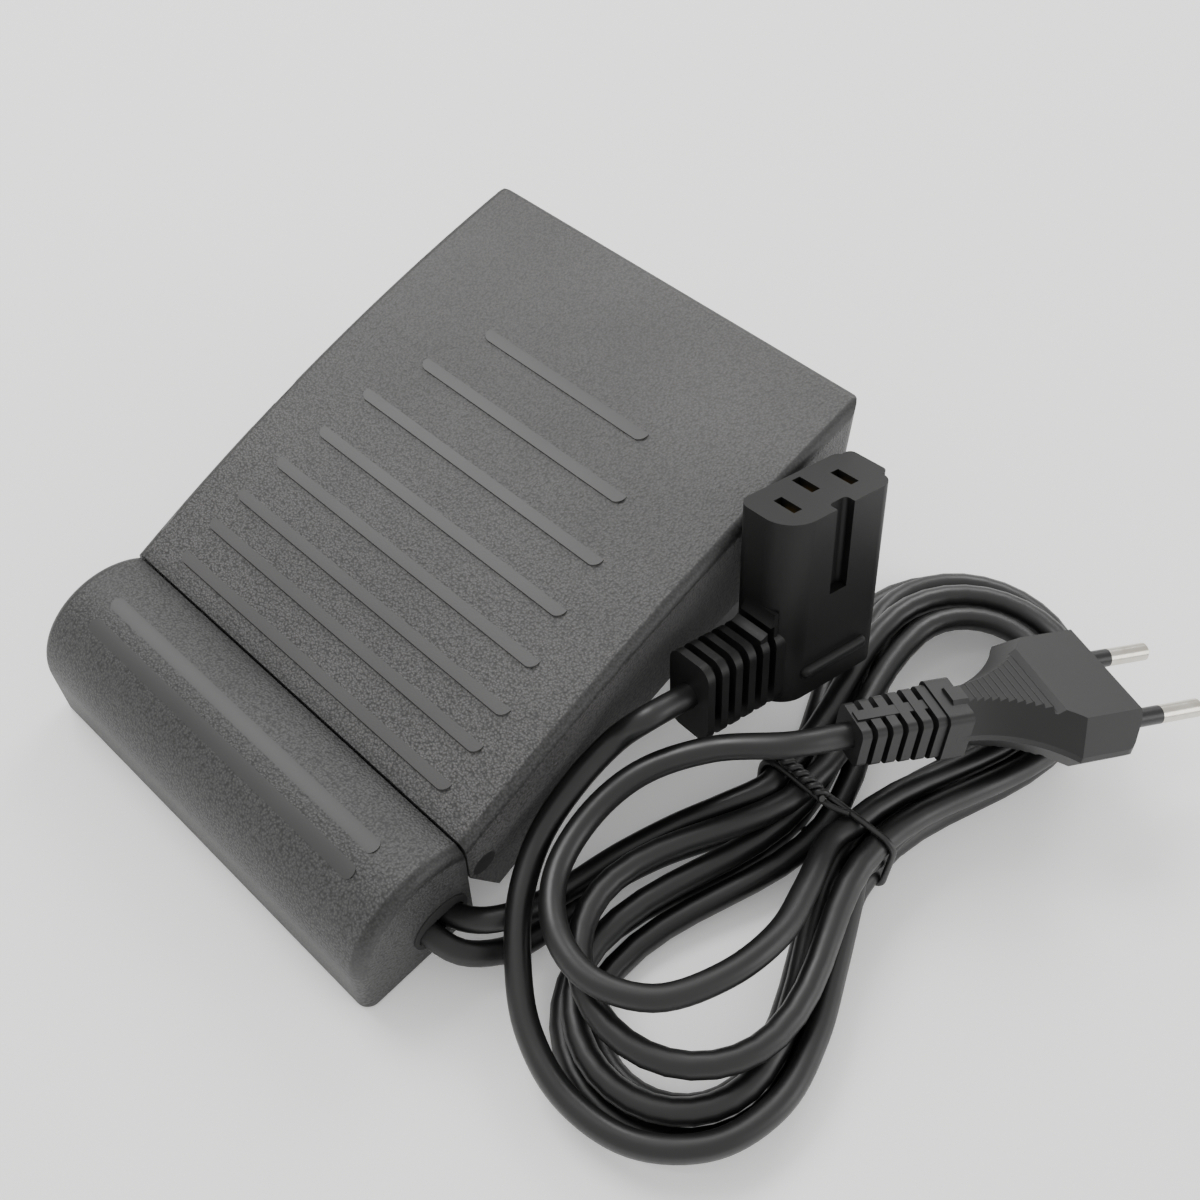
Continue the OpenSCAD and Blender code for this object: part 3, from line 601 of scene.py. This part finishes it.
@dataclass(frozen=True)
class LayeredPart:
    """A part with fine parallel layers: a wound coil's turns or a laminate's sheets."""

    name: str
    colour: str
    gap_colour: str
    roughness: float
    pitch_mm: float
    depth_mm: float
    direction: str = "Z"
    ior: float = 1.5

    def shade(self, tree: Tree, shader: Node) -> None:
        """Sets the layers as bands of colour and height.

        Args:
            tree: The material's node tree.
            shader: Its Principled shader.
        """
        place = add(tree, "TexCoord").outputs["Object"]
        # a wave texture of scale 1 repeats every tau / 20 metres
        bands = add(
            tree,
            "TexWave",
            {"Scale": math.tau / 20 / (self.pitch_mm * MM), "Distortion": 0.6, "Detail": 2},
            {"Vector": place},
            bands_direction=self.direction,
        )
        tone = add(tree, "ValToRGB", links={"Fac": bands.outputs["Fac"]})
        set_stops(tone, (0.05, self.gap_colour), (0.45, self.colour))
        bump = add(
            tree,
            "Bump",
            {"Strength": 0.7, "Distance": self.depth_mm * MM},
            {"Height": bands.outputs["Fac"]},
        )
        connect(
            tree,
            shader,
            {"IOR": self.ior, "Roughness": self.roughness},
            {"Base Color": tone, "Normal": bump},
        )


@dataclass(frozen=True)
class Sheath:
    """Soft PVC, extruded over the cores: glossy, with a faint long ripple from the die."""

    name: str
    colour: str
    roughness: float

    def shade(self, tree: Tree, shader: Node) -> None:
        """Sets the ripple and the uneven gloss of a handled cord.

        Args:
            tree: The material's node tree.
            shader: Its Principled shader.
        """
        place = add(tree, "TexCoord").outputs["Object"]
        ripple = add(tree, "TexNoise", {"Scale": 420, "Detail": 2}, {"Vector": place})
        handled = add(tree, "TexNoise", {"Scale": 75, "Detail": 4}, {"Vector": place})
        gloss = add(
            tree,
            "MapRange",
            {
                "From Min": 0.35,
                "From Max": 0.7,
                "To Min": self.roughness,
                "To Max": self.roughness + 0.14,
            },
            {"Value": handled},
        )
        bump = add(tree, "Bump", {"Strength": 0.4, "Distance": 0.06 * MM}, {"Height": ripple})
        connect(
            tree,
            shader,
            {"Base Color": linear(self.colour), "IOR": 1.54},
            {"Roughness": gloss, "Normal": bump},
        )


@dataclass(frozen=True)
class StudioPaper:
    """Matt white paper on a light table: a barely visible tooth, and a little light from below."""

    name: str = "studio_paper"
    colour: str = "#fafafa"
    glow: float = 0.2

    def shade(self, tree: Tree, shader: Node) -> None:
        """Sets the paper's tooth and its glow.

        Args:
            tree: The material's node tree.
            shader: Its Principled shader.
        """
        place = add(tree, "TexCoord").outputs["Object"]
        tooth = add(tree, "TexNoise", {"Scale": 900, "Detail": 2}, {"Vector": place})
        bump = add(tree, "Bump", {"Strength": 0.1, "Distance": 0.05 * MM}, {"Height": tooth})
        white = linear(self.colour)
        connect(
            tree,
            shader,
            {
                "Base Color": white,
                "Roughness": 0.9,
                "Emission Color": white,
                "Emission Strength": self.glow,
            },
            {"Normal": bump},
        )


# moulded parts: two tones, roughness, grain and its depth in mm, index of refraction
# metals: two tones, roughness, marks in mm; layers: tone, gap, roughness, pitch and depth in mm
TREADLE_ABS = GrainedShell("grained_abs_treadle", Crown.PLATE)
HEEL_ABS = GrainedShell("grained_abs_heel", Crown.ROLL, "#343434", "#3d3d3d", edge_mm=3)
# the tray is the same ABS from a plainly eroded tool, a touch darker and duller
TRAY_ABS = MouldedPart("eroded_abs_tray", "#29292b", "#303032", 0.55, 0.6, 0.04, 1.53)
# black oxide on turned steel: near black, with a soft oily shine
BLACK_STEEL = WorkedMetal("blackened_steel", "#242425", "#2f2f30", 0.45)
# bright zinc on turned steel: cool grey with soft marks
ZINC_STEEL = WorkedMetal("zinc_plated_steel", "#a9abad", "#c2c3c4", 0.32)
# drawn and oiled spring wire: darker and smoother than the pins
SPRING_WIRE = WorkedMetal("drawn_spring_wire", "#77797c", "#96989a", 0.28)
# natural nylon: milky, waxy, low gloss
SLIDE_NYLON = MouldedPart("moulded_natural_nylon", "#cfc9b8", "#d9d4c6", 0.42, 0.8, 0.015, 1.53)
# rolled brass strip: warm yellow, dull along its edges
BRASS_STRIP = WorkedMetal("rolled_brass_strip", "#b08d4b", "#c9a765", 0.3)
# phenolic paper board: brown sheets that show as thin layers on its edge
TRACK_PHENOLIC = LayeredPart("pressed_phenolic", "#6b4a2b", "#5a3c22", 0.5, 0.5, 0.01)
# printed carbon ink: dead matt, slightly grainy
CARBON_INK = MouldedPart("printed_carbon_ink", "#18181a", "#222224", 0.72, 0.3, 0.02)
# glass and epoxy laminate under green solder mask: glossy, with the weave just showing
BOARD_LAMINATE = LayeredPart("masked_epoxy_laminate", "#2d6a3c", "#27603a", 0.3, 0.45, 0.01, "X")
# epoxy moulding compound: matt black with a fine sandy skin
EPOXY_CASE = MouldedPart("moulded_epoxy_case", "#1c1c1e", "#242426", 0.6, 0.25, 0.02)
# extruded and sawn aluminium: pale, with fine marks along the fins
FIN_ALUMINIUM = WorkedMetal("extruded_aluminium", "#b4b6b8", "#cacccd", 0.36, 0.2)
# lacquered copper wire laid turn on turn
LACQUERED_WINDING = LayeredPart("lacquered_copper_winding", "#8a3f1d", "#3b1a0d", 0.3, 0.9, 0.12)
# dipped polyester film capacitor: glossy yellow shell
FILM_DIP = MouldedPart("dipped_polyester_film", "#c79a2e", "#d2a63b", 0.25, 1.5, 0.03)
# baked resistor lacquer: pale tan, satin
RESISTOR_LACQUER = MouldedPart("baked_resistor_lacquer", "#bfa27a", "#c9ae88", 0.4, 0.6, 0.02)
# moulded polyamide terminal: off-white, slightly see-through looking
TERMINAL_NYLON = MouldedPart("moulded_terminal_nylon", "#d6d3c8", "#dedbd1", 0.4, 0.7, 0.02, 1.53)
# thin PVC over the cores, in the two mains colours
BLUE_PVC = Sheath("extruded_blue_pvc", "#2552a0", 0.34)
BROWN_PVC = Sheath("extruded_brown_pvc", "#5a3320", 0.34)
# moulded rubber: matt, with a dusty bloom
FOOT_RUBBER = MouldedPart("moulded_rubber", "#1b1b1b", "#262626", 0.78, 0.4, 0.03, 1.52)
# flexible PVC, moulded round the contacts: near black, satin, very fine skin; this copy is painted
# a touch lighter, as painted light on the plug
PLUG_PVC_PAINTED_LIGHTER = MouldedPart("plug_pvc_painted_lighter", "#121212", "#191919", 0.47, 0.28, 0.02, 1.47)
# the same compound as the plug, in a copy painted a shade blacker and given a lower index for less
# reflection, as painted shade on the connector
CONNECTOR_PVC_PAINTED_DARKER = MouldedPart("connector_pvc_painted_darker", "#0d0d0d", "#131313", 0.47, 0.28, 0.02, 1.39)
# nickel plate on turned brass: warm silver, bright
NICKEL_PIN = WorkedMetal("nickel_plated_brass", "#c6c1b6", "#d8d4cb", 0.2, 0.3)
# hard black sleeve on each pin's root
SLEEVE_NYLON = MouldedPart("moulded_black_nylon", "#121213", "#19191a", 0.35, 0.4, 0.01)
# the tie's thin coat over its wire
TIE_PVC = Sheath("coated_tie_pvc", "#101010", 0.36)
# the cords' black jacket: a long soft highlight, broken where hands have dulled it
CORD_PVC = Sheath("extruded_cord_pvc", "#0f0f0f", 0.36)


# ---------- building helpers ----------


def smooth_line(points: Sequence[Vector], step: float) -> list[Vector]:
    """Draws one smooth curve through every point of a route.

    Args:
        points: The route's points in order.
        step: The spacing of the new points, in metres.

    Returns:
        Points along the curve, the first and last of the route among them.
    """
    line: list[Vector] = []
    for i in range(len(points) - 1):
        start, end = points[i], points[i + 1]
        before = points[i - 1] if i else start * 2 - end
        after = points[i + 2] if i + 2 < len(points) else end * 2 - start
        # centripetal knots keep the curve from swinging out where the spacing changes
        ways = (start - before, end - start, after - end)
        k1, k2, k3 = (max(way.length, 1e-6) ** 0.5 for way in ways)
        lead = ((start - before) / k1 - (end - before) / (k1 + k2) + (end - start) / k2) * k2
        tail = ((end - start) / k2 - (after - start) / (k2 + k3) + (after - end) / k3) * k2
        pieces = max(1, round((end - start).length / step))
        for n in range(pieces):
            t = n / pieces
            line.append(
                start * (2 * t**3 - 3 * t**2 + 1)
                + lead * (t**3 - 2 * t**2 + t)
                + end * (3 * t**2 - 2 * t**3)
                + tail * (t**3 - t**2)
            )
    line.append(points[-1].copy())
    return line


def tube(
    name: str, line: Sequence[Vector], radius: float, finish: Finish, closed: bool = False
) -> bpy.types.Object:
    """Makes a round tube along a line.

    Args:
        name: The piece's name.
        line: The centre line's points.
        radius: The tube's radius, in metres.
        finish: The tube's finish.
        closed: Whether the line is a loop.

    Returns:
        The curve object.
    """
    curve = bpy.data.curves.new(name, "CURVE")
    curve.dimensions = "3D"
    curve.bevel_depth = radius
    curve.bevel_resolution = 5  # 14 sides
    curve.use_fill_caps = not closed
    spline = curve.splines.new("POLY")
    spline.points.add(len(line) - 1)
    for point, place in zip(spline.points, line):
        point.co = (*place, 1)
    spline.use_cyclic_u = closed
    spline.use_smooth = True
    curve.materials.append(material_of(finish))
    piece = bpy.data.objects.new(name, curve)
    bpy.context.scene.collection.objects.link(piece)
    return piece


# ---------- springs ----------


@dataclass
class Coil:
    """A compression spring with closed ends."""

    name: str
    stands_for: str
    presses: str
    radius: float
    wire: float
    turns: int
    closed_pitch: float = 0.35
    points_per_turn: int = 24

    def line(self, foot: Vector, height: float) -> list[Vector]:
        """Draws the wire's centre line, with its first and last turns wound close.

        Args:
            foot: The middle of the lower seat, in metres.
            height: The spring's height at rest.

        Returns:
            The points in order.
        """
        rise = height - self.wire
        closed = self.closed_pitch * rise / self.turns
        pitch = (rise - 2 * closed) / (self.turns - 2)
        line = []
        for n in range(self.points_per_turn * self.turns + 1):
            turn = n / self.points_per_turn
            open_turns = min(max(turn - 1, 0), self.turns - 2)
            angle = math.tau * turn
            up = self.wire / 2 + open_turns * pitch + (turn - open_turns) * closed
            out = (self.radius * math.cos(angle), self.radius * math.sin(angle), up)
            line.append(foot + Vector(out))
        return line

    def build(self) -> list[str]:
        """Winds the spring in place of its solid.

        Returns:
            The piece's name, for the log.
        """
        low, high = (Vector(corner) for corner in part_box(self.stands_for))
        foot = Vector(((low.x + high.x) / 2, (low.y + high.y) / 2, low.z))
        line = self.line(foot, high.z - low.z)
        wound = tube(f"{self.name}_wire", line, self.wire / 2, SPRING_WIRE)
        bpy.context.view_layer.update()
        graph = bpy.context.evaluated_depsgraph_get()
        mesh = bpy.data.meshes.new_from_object(wound.evaluated_get(graph))
        bpy.data.objects.remove(wound)
        piece = bpy.data.objects.new(self.name, mesh)
        bpy.context.scene.collection.objects.link(piece)
        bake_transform(piece)
        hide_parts(self.stands_for)
        return [self.name]


# ---------- studio ----------


@dataclass
class Studio:
    """The camera, the lights and the paper under the pedal."""

    camera_at: Triple = (0.1553, -0.1163, 0.2696)
    yaw_deg: float = 45.53
    pitch_deg: float = 53.27
    roll_deg: float = -1.76
    lens_mm: float = 40.59
    shift: tuple[float, float] = (0.0339, 0.0082)
    aim: Triple = (0.03, 0.0, 0.03)
    softbox_side: float = 0.5
    air_colour: str = "#f6f5f4"
    air_strength: float = 1.05
    paper_reach: float = 4

    def camera(self) -> None:
        """Sets the camera, turned by its yaw, pitch and roll."""
        yaw, pitch, roll = (math.radians(a) for a in (self.yaw_deg, self.pitch_deg, self.roll_deg))
        look = Vector(
            (-math.sin(yaw) * math.cos(pitch), math.cos(yaw) * math.cos(pitch), -math.sin(pitch))
        )
        level = Vector((math.cos(yaw), math.sin(yaw), 0))
        up = level.cross(look)
        right = level * math.cos(roll) + up * math.sin(roll)
        top = up * math.cos(roll) - level * math.sin(roll)
        lens = bpy.data.cameras.new("studio_camera")
        lens.lens = self.lens_mm
        lens.sensor_width = 36
        lens.shift_x, lens.shift_y = self.shift
        lens.clip_start = 0.01
        camera = bpy.data.objects.new("studio_camera", lens)
        camera.matrix_world = Matrix.Translation(self.camera_at) @ Matrix(
            (right, top, -look)
        ).transposed().to_4x4()
        bpy.context.scene.collection.objects.link(camera)
        bpy.context.scene.camera = camera

    def softbox(self, name: str, at: Triple, watts: float) -> None:
        """Hangs one softbox, turned to the pedal.

        Args:
            name: The light's name.
            at: Its centre, in metres.
            watts: Its power.
        """
        lamp = bpy.data.lights.new(name, "AREA")
        lamp.shape = "RECTANGLE"
        lamp.size = lamp.size_y = self.softbox_side
        lamp.energy = watts
        box = bpy.data.objects.new(name, lamp)
        box.location = at
        box.rotation_euler = (Vector(self.aim) - Vector(at)).to_track_quat("-Z", "Y").to_euler()
        bpy.context.scene.collection.objects.link(box)

    def build(self) -> list[str]:
        """Builds the whole studio.

        Returns:
            The names of what was made.
        """
        self.camera()
        self.softbox("key_softbox", (-0.62, 0.02, 1.0), 7.5)
        self.softbox("toe_softbox", (-0.3, 0.9, 0.8), 5)
        self.softbox("side_softbox", (0.95, 0.4, 0.4), 2.5)
        world = bpy.data.worlds.new("studio_air")
        world.use_nodes = True
        connect(
            world.node_tree,
            world.node_tree.nodes["Background"],
            {"Color": linear(self.air_colour), "Strength": self.air_strength},
        )
        bpy.context.scene.world = world
        sheet = bpy.data.meshes.new("paper")
        reach = self.paper_reach
        corners = [(-reach, -reach, 0), (reach, -reach, 0), (reach, reach, 0), (-reach, reach, 0)]
        sheet.from_pydata(corners, [], [(0, 1, 2, 3)])
        sheet.materials.append(material_of(StudioPaper()))
        floor = bpy.data.objects.new("paper", sheet)
        bpy.context.scene.collection.objects.link(floor)
        return ["camera", "softboxes", "paper"]


# ---------- cords ----------


def ease(t: float) -> float:
    """Gives a soft start and a soft stop to a share from 0 to 1."""
    return (1 - math.cos(math.pi * t)) / 2


@dataclass
class Hank:
    """A flat hank: straight runs drawn in at the waist by the tie, joined by half circles.

    Its loops lie inside each other up to the reversal, then on top of these and outward again.
    """

    far_run: float
    far_bulge: float
    near_run: float
    near_bulge: float
    turned_deg: float
    bottom: float
    loops: float
    reversal: float = math.inf
    centre: tuple[float, float] = (0.099, 0.018)
    waist: float = 0.0144
    waist_lift: float = 0.0016
    loop_step: float = 0.0065
    pitch: float = 0.00595
    run_share: float = 0.125

    def point(self, turns: float) -> Vector:
        """Finds the centre line after some turns.

        Args:
            turns: Turns from the hank's start.

        Returns:
            The point, in metres.
        """
        share = turns % 1
        far = share < 0.5
        g = share if far else share - 0.5
        q = self.run_share
        inward = min(turns, 2 * self.reversal - turns) * self.loop_step
        run, bulge = (self.far_run, self.far_bulge) if far else (self.near_run, self.near_bulge)
        reach = bulge - inward
        neck = self.waist - inward
        swell = bulge - self.waist
        if g < q:
            x, y = -(neck + swell * ease(g / q)), run * g / q
        elif g < 0.5 - q:
            angle = math.pi * (g - q) / (0.5 - 2 * q)
            x, y = -reach * math.cos(angle), run + reach * math.sin(angle)
        else:
            x, y = neck + swell * ease((0.5 - g) / q), run * (0.5 - g) / q
        lift = self.waist_lift * (1 - ease(min(1.0, y / run)))
        climb = self.pitch * min(1.0, max(0.0, (turns - self.reversal + q) / (2 * q)))
        side = 1 if far else -1
        turn = math.radians(self.turned_deg)
        return Vector(
            (
                self.centre[0] + side * (x * math.cos(turn) - y * math.sin(turn)),
                self.centre[1] + side * (x * math.sin(turn) + y * math.cos(turn)),
                self.bottom + climb + lift,
            )
        )

    def line(self, points_per_turn: int = 64) -> list[Vector]:
        """Draws the whole centre line.

        Args:
            points_per_turn: Points on each turn.

        Returns:
            The points in order.
        """
        count = round(points_per_turn * self.loops)
        return [self.point(i / points_per_turn) for i in range(count + 1)]


@dataclass
class Cord:
    """One cord: out of the pedal, round its hank, and into the moulding on its far end."""

    name: str
    lead_in: list[Triple]
    hank: Hank
    lead_out: list[Triple]
    far_at: Triple
    far_turn_deg: Triple
    relief: Triple
    bury: float
    exit: Triple
    length: float
    far_end: str
    with_nodes: list[str]
    stands_for: list[str]
    diameter: float = 0.0055
    point_step: float = 0.002
    end_turns: float = 1 / 24

    def route(self) -> list[Vector]:
        """Joins the cord's stretches to one line.

        Returns:
            The points from the pedal to the far end.
        """
        hank = self.hank.line()
        away = self.diameter
        inside = self.hank.point(self.end_turns)
        before = hank[0] + (hank[0] - inside).normalized() * away
        inside = self.hank.point(self.hank.loops - self.end_turns)
        after = hank[-1] + (hank[-1] - inside).normalized() * away
        turn = Euler([math.radians(a) for a in self.far_turn_deg], "XYZ").to_matrix()
        relief = Vector(self.far_at) + turn @ Vector(self.relief)
        inner = relief - turn @ Vector((self.bury, 0, 0))
        lead_in = [Vector(p) for p in self.lead_in]
        lead_out = [Vector(p) for p in self.lead_out]
        start = smooth_line([*lead_in, before, hank[0]], self.point_step)
        end = smooth_line([hank[-1], after, *lead_out, inner, relief], self.point_step)
        return start[:-1] + hank + end[1:]

    def build(self) -> list[str]:
        """Makes the cord in place of its solids.

        Returns:
            The piece's name, for the log.
        """
        piece = tube(self.name, self.route(), self.diameter / 2, CORD_PVC)
        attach(piece, "base")
        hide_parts(*self.stands_for)
        return [self.name]


def machine_cord() -> Cord:
    """Gives the long cord to the sewing machine, with its flat three-way connector.

    Returns:
        The cord, ready to build.
    """
    return Cord(
        name="machine_cord",
        lead_in=[
            (0.03, -0.0605, 0.01),
            (0.041, -0.0605, 0.01),
            (0.05, -0.058, 0.01),
            (0.056, -0.0576, 0.0098),
            (0.062, -0.0555, 0.008),
            (0.0675, -0.0475, 0.005),
            (0.0695, -0.0365, 0.003),
            (0.0705, -0.025, 0.0028),
            (0.075, -0.01, 0.0029),
            (0.0815, 0.003, 0.0036),
        ],
        hank=Hank(
            far_run=0.056,
            far_bulge=0.0285,
            near_run=0.052,
            near_bulge=0.0285,
            turned_deg=3,
            bottom=0.0028,
            loops=3.5,
            reversal=2,
        ),
        lead_out=[
            (0.1128, 0.0062, 0.01),
            (0.119, -0.007, 0.0093),
            (0.1245, -0.02, 0.0088),
            (0.1274, -0.0345, 0.0088),
            (0.1235, -0.049, 0.0088),
            (0.112, -0.0595, 0.0088),
            (0.097, -0.062, 0.0092),
            (0.0835, -0.058, 0.0108),
            (0.0735, -0.0505, 0.014),
            (0.0655, -0.0415, 0.0176),
            (0.0603, -0.0305, 0.0215),
            (0.0589, -0.0185, 0.0265),
            (0.06, -0.0075, 0.0315),
        ],
        far_at=(0.0636, 0.0468, 0.066),
        far_turn_deg=(-13.1, 7.6, 80.2),
        relief=(-0.033, 0, -0.036),
        bury=0.011,
        exit=(0.056, -0.0576, 0.0098),
        length=1.565,
        far_end="connector",
        with_nodes=["connector_body", "connector_contacts"],
        stands_for=["machine_lead_in", "machine_hank", "machine_lead_out"],
    )


def mains_cord() -> Cord:
    """Gives the short mains cord, with its flat two-pin plug.

    Returns:
        The cord, ready to build.
    """
    return Cord(
        name="mains_cord",
        lead_in=[
            (0.03, -0.0545, 0.01),
            (0.041, -0.0545, 0.01),
            (0.05, -0.052, 0.01),
            (0.056, -0.0515, 0.0102),
            (0.062, -0.048, 0.0115),
            (0.0665, -0.04, 0.011),
            (0.0685, -0.03, 0.0092),
            (0.071, -0.018, 0.0092),
            (0.0755, -0.005, 0.0105),
            (0.0805, 0.004, 0.0135),
        ],
        hank=Hank(
            far_run=0.05,
            far_bulge=0.0245,
            near_run=0.044,
            near_bulge=0.027,
            turned_deg=-3,
            bottom=0.0147,
            loops=1.5,
        ),
        lead_out=[
            (0.106, -0.001, 0.019),
            (0.1085, -0.013, 0.021),
            (0.1065, -0.027, 0.0215),
            (0.0995, -0.04, 0.0215),
            (0.088, -0.0455, 0.0215),
            (0.077, -0.043, 0.0215),
            (0.069, -0.035, 0.022),
            (0.0655, -0.022, 0.024),
            (0.0675, -0.009, 0.028),
            (0.076, 0.003, 0.033),
        ],
        far_at=(0.124, 0.0729, 0.0272),
        far_turn_deg=(-13, 8, 59.3),
        relief=(-0.058, 0, 0),
        bury=0.012,
        exit=(0.056, -0.0515, 0.0102),
        length=0.761,
        far_end="plug",
        with_nodes=["plug_body", "plug_pins", "pin_sleeves"],
        stands_for=["mains_lead_in", "mains_hank", "mains_lead_out"],
    )


@dataclass
class TwistTie:
    """The wire tie round the hank's waist, with its two ends twisted together on top.

    Touching and beside are distances in wire radii, and bend is a share of the corner.
    """

    y: float = 0.018
    left: float = 0.081
    right: float = 0.1137
    low: float = 0.0008
    high: float = 0.0199
    corner: float = 0.0036
    corner_points: int = 8
    wire: float = 0.00072
    knot_x: float = 0.0965
    tip: Triple = (0.082, 0.0172, 0.0226)
    tail_turns: float = 4
    tail_points: int = 60
    touching: float = 1.02
    beside: float = 2.2
    bend: float = 0.3
    past_knot: tuple[float, float] = (0.002, 0.006)
    point_step: float = 0.0005

    def loop(self) -> list[Vector]:
        """Draws the loop round the strands, as a rectangle with round corners.

        Returns:
            The loop's points, in order.
        """
        line: list[Vector] = []
        c = self.corner
        centres = [
            (self.right - c, self.high - c, 0),
            (self.left + c, self.high - c, 90),
            (self.left + c, self.low + c, 180),
            (self.right - c, self.low + c, 270),
        ]
        for x, z, first in centres:
            for n in range(self.corner_points + 1):
                angle = math.radians(first + n * 90 / self.corner_points)
                line.append(Vector((x + c * math.cos(angle), self.y, z + c * math.sin(angle))))
        return line

    def tail(self, start: Vector, end: Vector, phase: float) -> list[Vector]:
        """Draws one strand of a twisted pair.

        Args:
            start: Where the twist leaves the loop.
            end: Its tip.
            phase: The strand's place round the twist, in turns.

        Returns:
            The strand's points.
        """
        axis = end - start
        side = axis.cross(Vector((0, 0, 1))).normalized()
        rise = side.cross(axis).normalized()
        line = []
        for n in range(self.tail_points + 1):
            share = n / self.tail_points
            angle = math.tau * (phase + share * self.tail_turns)
            bow = math.sin(math.pi * share) * self.wire
            place = start + axis * share + rise * bow
            out = side * math.cos(angle) + rise * math.sin(angle)
            line.append(place + out * self.wire * self.touching)
        return line

    def build(self) -> list[str]:
        """Makes the loop and its twisted ends.

        Returns:
            The pieces' names, for the log.
        """
        band = tube("tie_loop", self.loop(), self.wire, TIE_PVC, closed=True)
        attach(band, "base")
        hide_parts("twist_tie")
        names = ["tie_loop"]
        knot = Vector((self.knot_x, self.y - 2 * self.wire, self.high + 2 * self.wire))
        strands = {f"tie_end_{n}": self.tail(knot, Vector(self.tip), n / 2) for n in (0, 1)}
        # a second turn lies beside the first on the left, and ends under the knot
        beside = self.y - self.beside * self.wire
        turn = [
            (self.left, beside, self.low + 2 * self.corner),
            (self.left, beside, self.high - self.corner),
            (self.left + self.bend * self.corner, beside, self.high - self.bend * self.corner),
            (self.left + self.corner, beside, self.high),
            (self.knot_x + self.past_knot[0], beside, self.high),
            (self.knot_x + self.past_knot[1], self.y - self.wire, self.high + self.wire),
        ]
        strands["tie_second_turn"] = smooth_line([Vector(p) for p in turn], self.point_step)
        for name, line in strands.items():
            piece = tube(name, line, self.wire, TIE_PVC)
            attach(piece, "base")
            names.append(name)
        return names


# ---------- the pedal ----------


Finishes = tuple[tuple[Finish, str], ...]


@dataclass
class Assembly:
    """A sub-assembly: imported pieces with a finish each, and the springs that work in it."""

    finishes: Finishes = ()

    def springs(self) -> Sequence[Coil]:
        """Gives the springs that work in it: none, unless a sub-assembly has its own."""
        return ()

    def build(self) -> list[str]:
        """Dresses the pieces and winds the springs.

        Returns:
            The pieces' names, for the log.
        """
        names: list[str] = []
        for finish, name in self.finishes:
            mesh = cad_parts[name].data
            mesh.materials.clear()
            mesh.materials.append(material_of(finish))
            names.append(name)
        for spring in self.springs():
            names += spring.build()
        return names


@dataclass
class Treadle(Assembly):
    """The pressed plate, its hinge pins and its return springs."""

    finishes: Finishes = (
        (TREADLE_ABS, "treadle"),
        (BLACK_STEEL, "pivot_pin_left"),
        (BLACK_STEEL, "pivot_pin_right"),
    )
    radius: float = 0.0054
    wire: float = 0.0012
    turns: int = 10

    def springs(self) -> Sequence[Coil]:
        """Gives the two return springs.

        Returns:
            The left and the right spring.
        """
        sizes = (self.radius, self.wire, self.turns)
        return [
            Coil(f"return_coil_{side}", f"return_spring_{side}", "treadle", *sizes)
            for side in ("left", "right")
        ]


@dataclass
class Base(Assembly):
    """The tray, the heel housing over it, its screws and its feet."""

    finishes: Finishes = (
        (HEEL_ABS, "heel_housing"),
        (TRAY_ABS, "base_tray"),
        (ZINC_STEEL, "housing_screws"),
        (FOOT_RUBBER, "rubber_feet"),
    )


@dataclass
class SpeedControl(Assembly):
    """The plunger with its spring and wiper, and the track that the wiper slides on."""

    finishes: Finishes = (
        (SLIDE_NYLON, "plunger"),
        (BRASS_STRIP, "wiper_arm"),
        (TRACK_PHENOLIC, "track_plate"),
        (CARBON_INK, "carbon_track"),
    )
    radius: float = 0.0034
    wire: float = 0.0007
    turns: int = 6

    def springs(self) -> Sequence[Coil]:
        """Gives the plunger's spring."""
        sizes = (self.radius, self.wire, self.turns)
        return [Coil("plunger_coil", "plunger_spring", "plunger", *sizes)]


@dataclass
class Board(Assembly):
    """The circuit board and the parts soldered to it."""

    finishes: Finishes = (
        (BOARD_LAMINATE, "circuit_board"),
        (EPOXY_CASE, "triac"),
        (FIN_ALUMINIUM, "heat_sink"),
        (LACQUERED_WINDING, "choke"),
        (FILM_DIP, "capacitor"),
        (RESISTOR_LACQUER, "resistors"),
        (ZINC_STEEL, "board_screws"),
    )


@dataclass
class Wiring(Assembly):
    """The terminal block, the cores and the clamp that holds the two cords."""

    finishes: Finishes = (
        (TERMINAL_NYLON, "terminal_block"),
        (ZINC_STEEL, "terminal_screws"),
        (ZINC_STEEL, "clamp_screw"),
        (BLUE_PVC, "core_wires"),
        (BROWN_PVC, "board_wires"),
        (TRAY_ABS, "cord_clamp"),
        (FOOT_RUBBER, "outlet_grommet"),
    )


@dataclass
class FarEnds(Assembly):
    """The machine connector and the mains plug, moulded on the cords."""

    finishes: Finishes = (
        (CONNECTOR_PVC_PAINTED_DARKER, "connector_body"),
        (PLUG_PVC_PAINTED_LIGHTER, "plug_body"),
        (BRASS_STRIP, "connector_contacts"),
        (NICKEL_PIN, "plug_pins"),
        (SLEEVE_NYLON, "pin_sleeves"),
    )


Builder = Union[Studio, Cord, TwistTie, Assembly]


def main() -> None:
    """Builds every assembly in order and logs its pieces."""
    logging.basicConfig(level=logging.INFO, format="%(name)s: %(message)s")
    builders: list[Builder] = [
        Studio(),
        machine_cord(),
        mains_cord(),
        TwistTie(),
        Treadle(),
        Base(),
        SpeedControl(),
        Board(),
        Wiring(),
        FarEnds(),
    ]
    for builder in builders:
        for name in builder.build():
            LOG.info("%s: %s", type(builder).__name__, name)


if __name__ == "__main__":
    main()
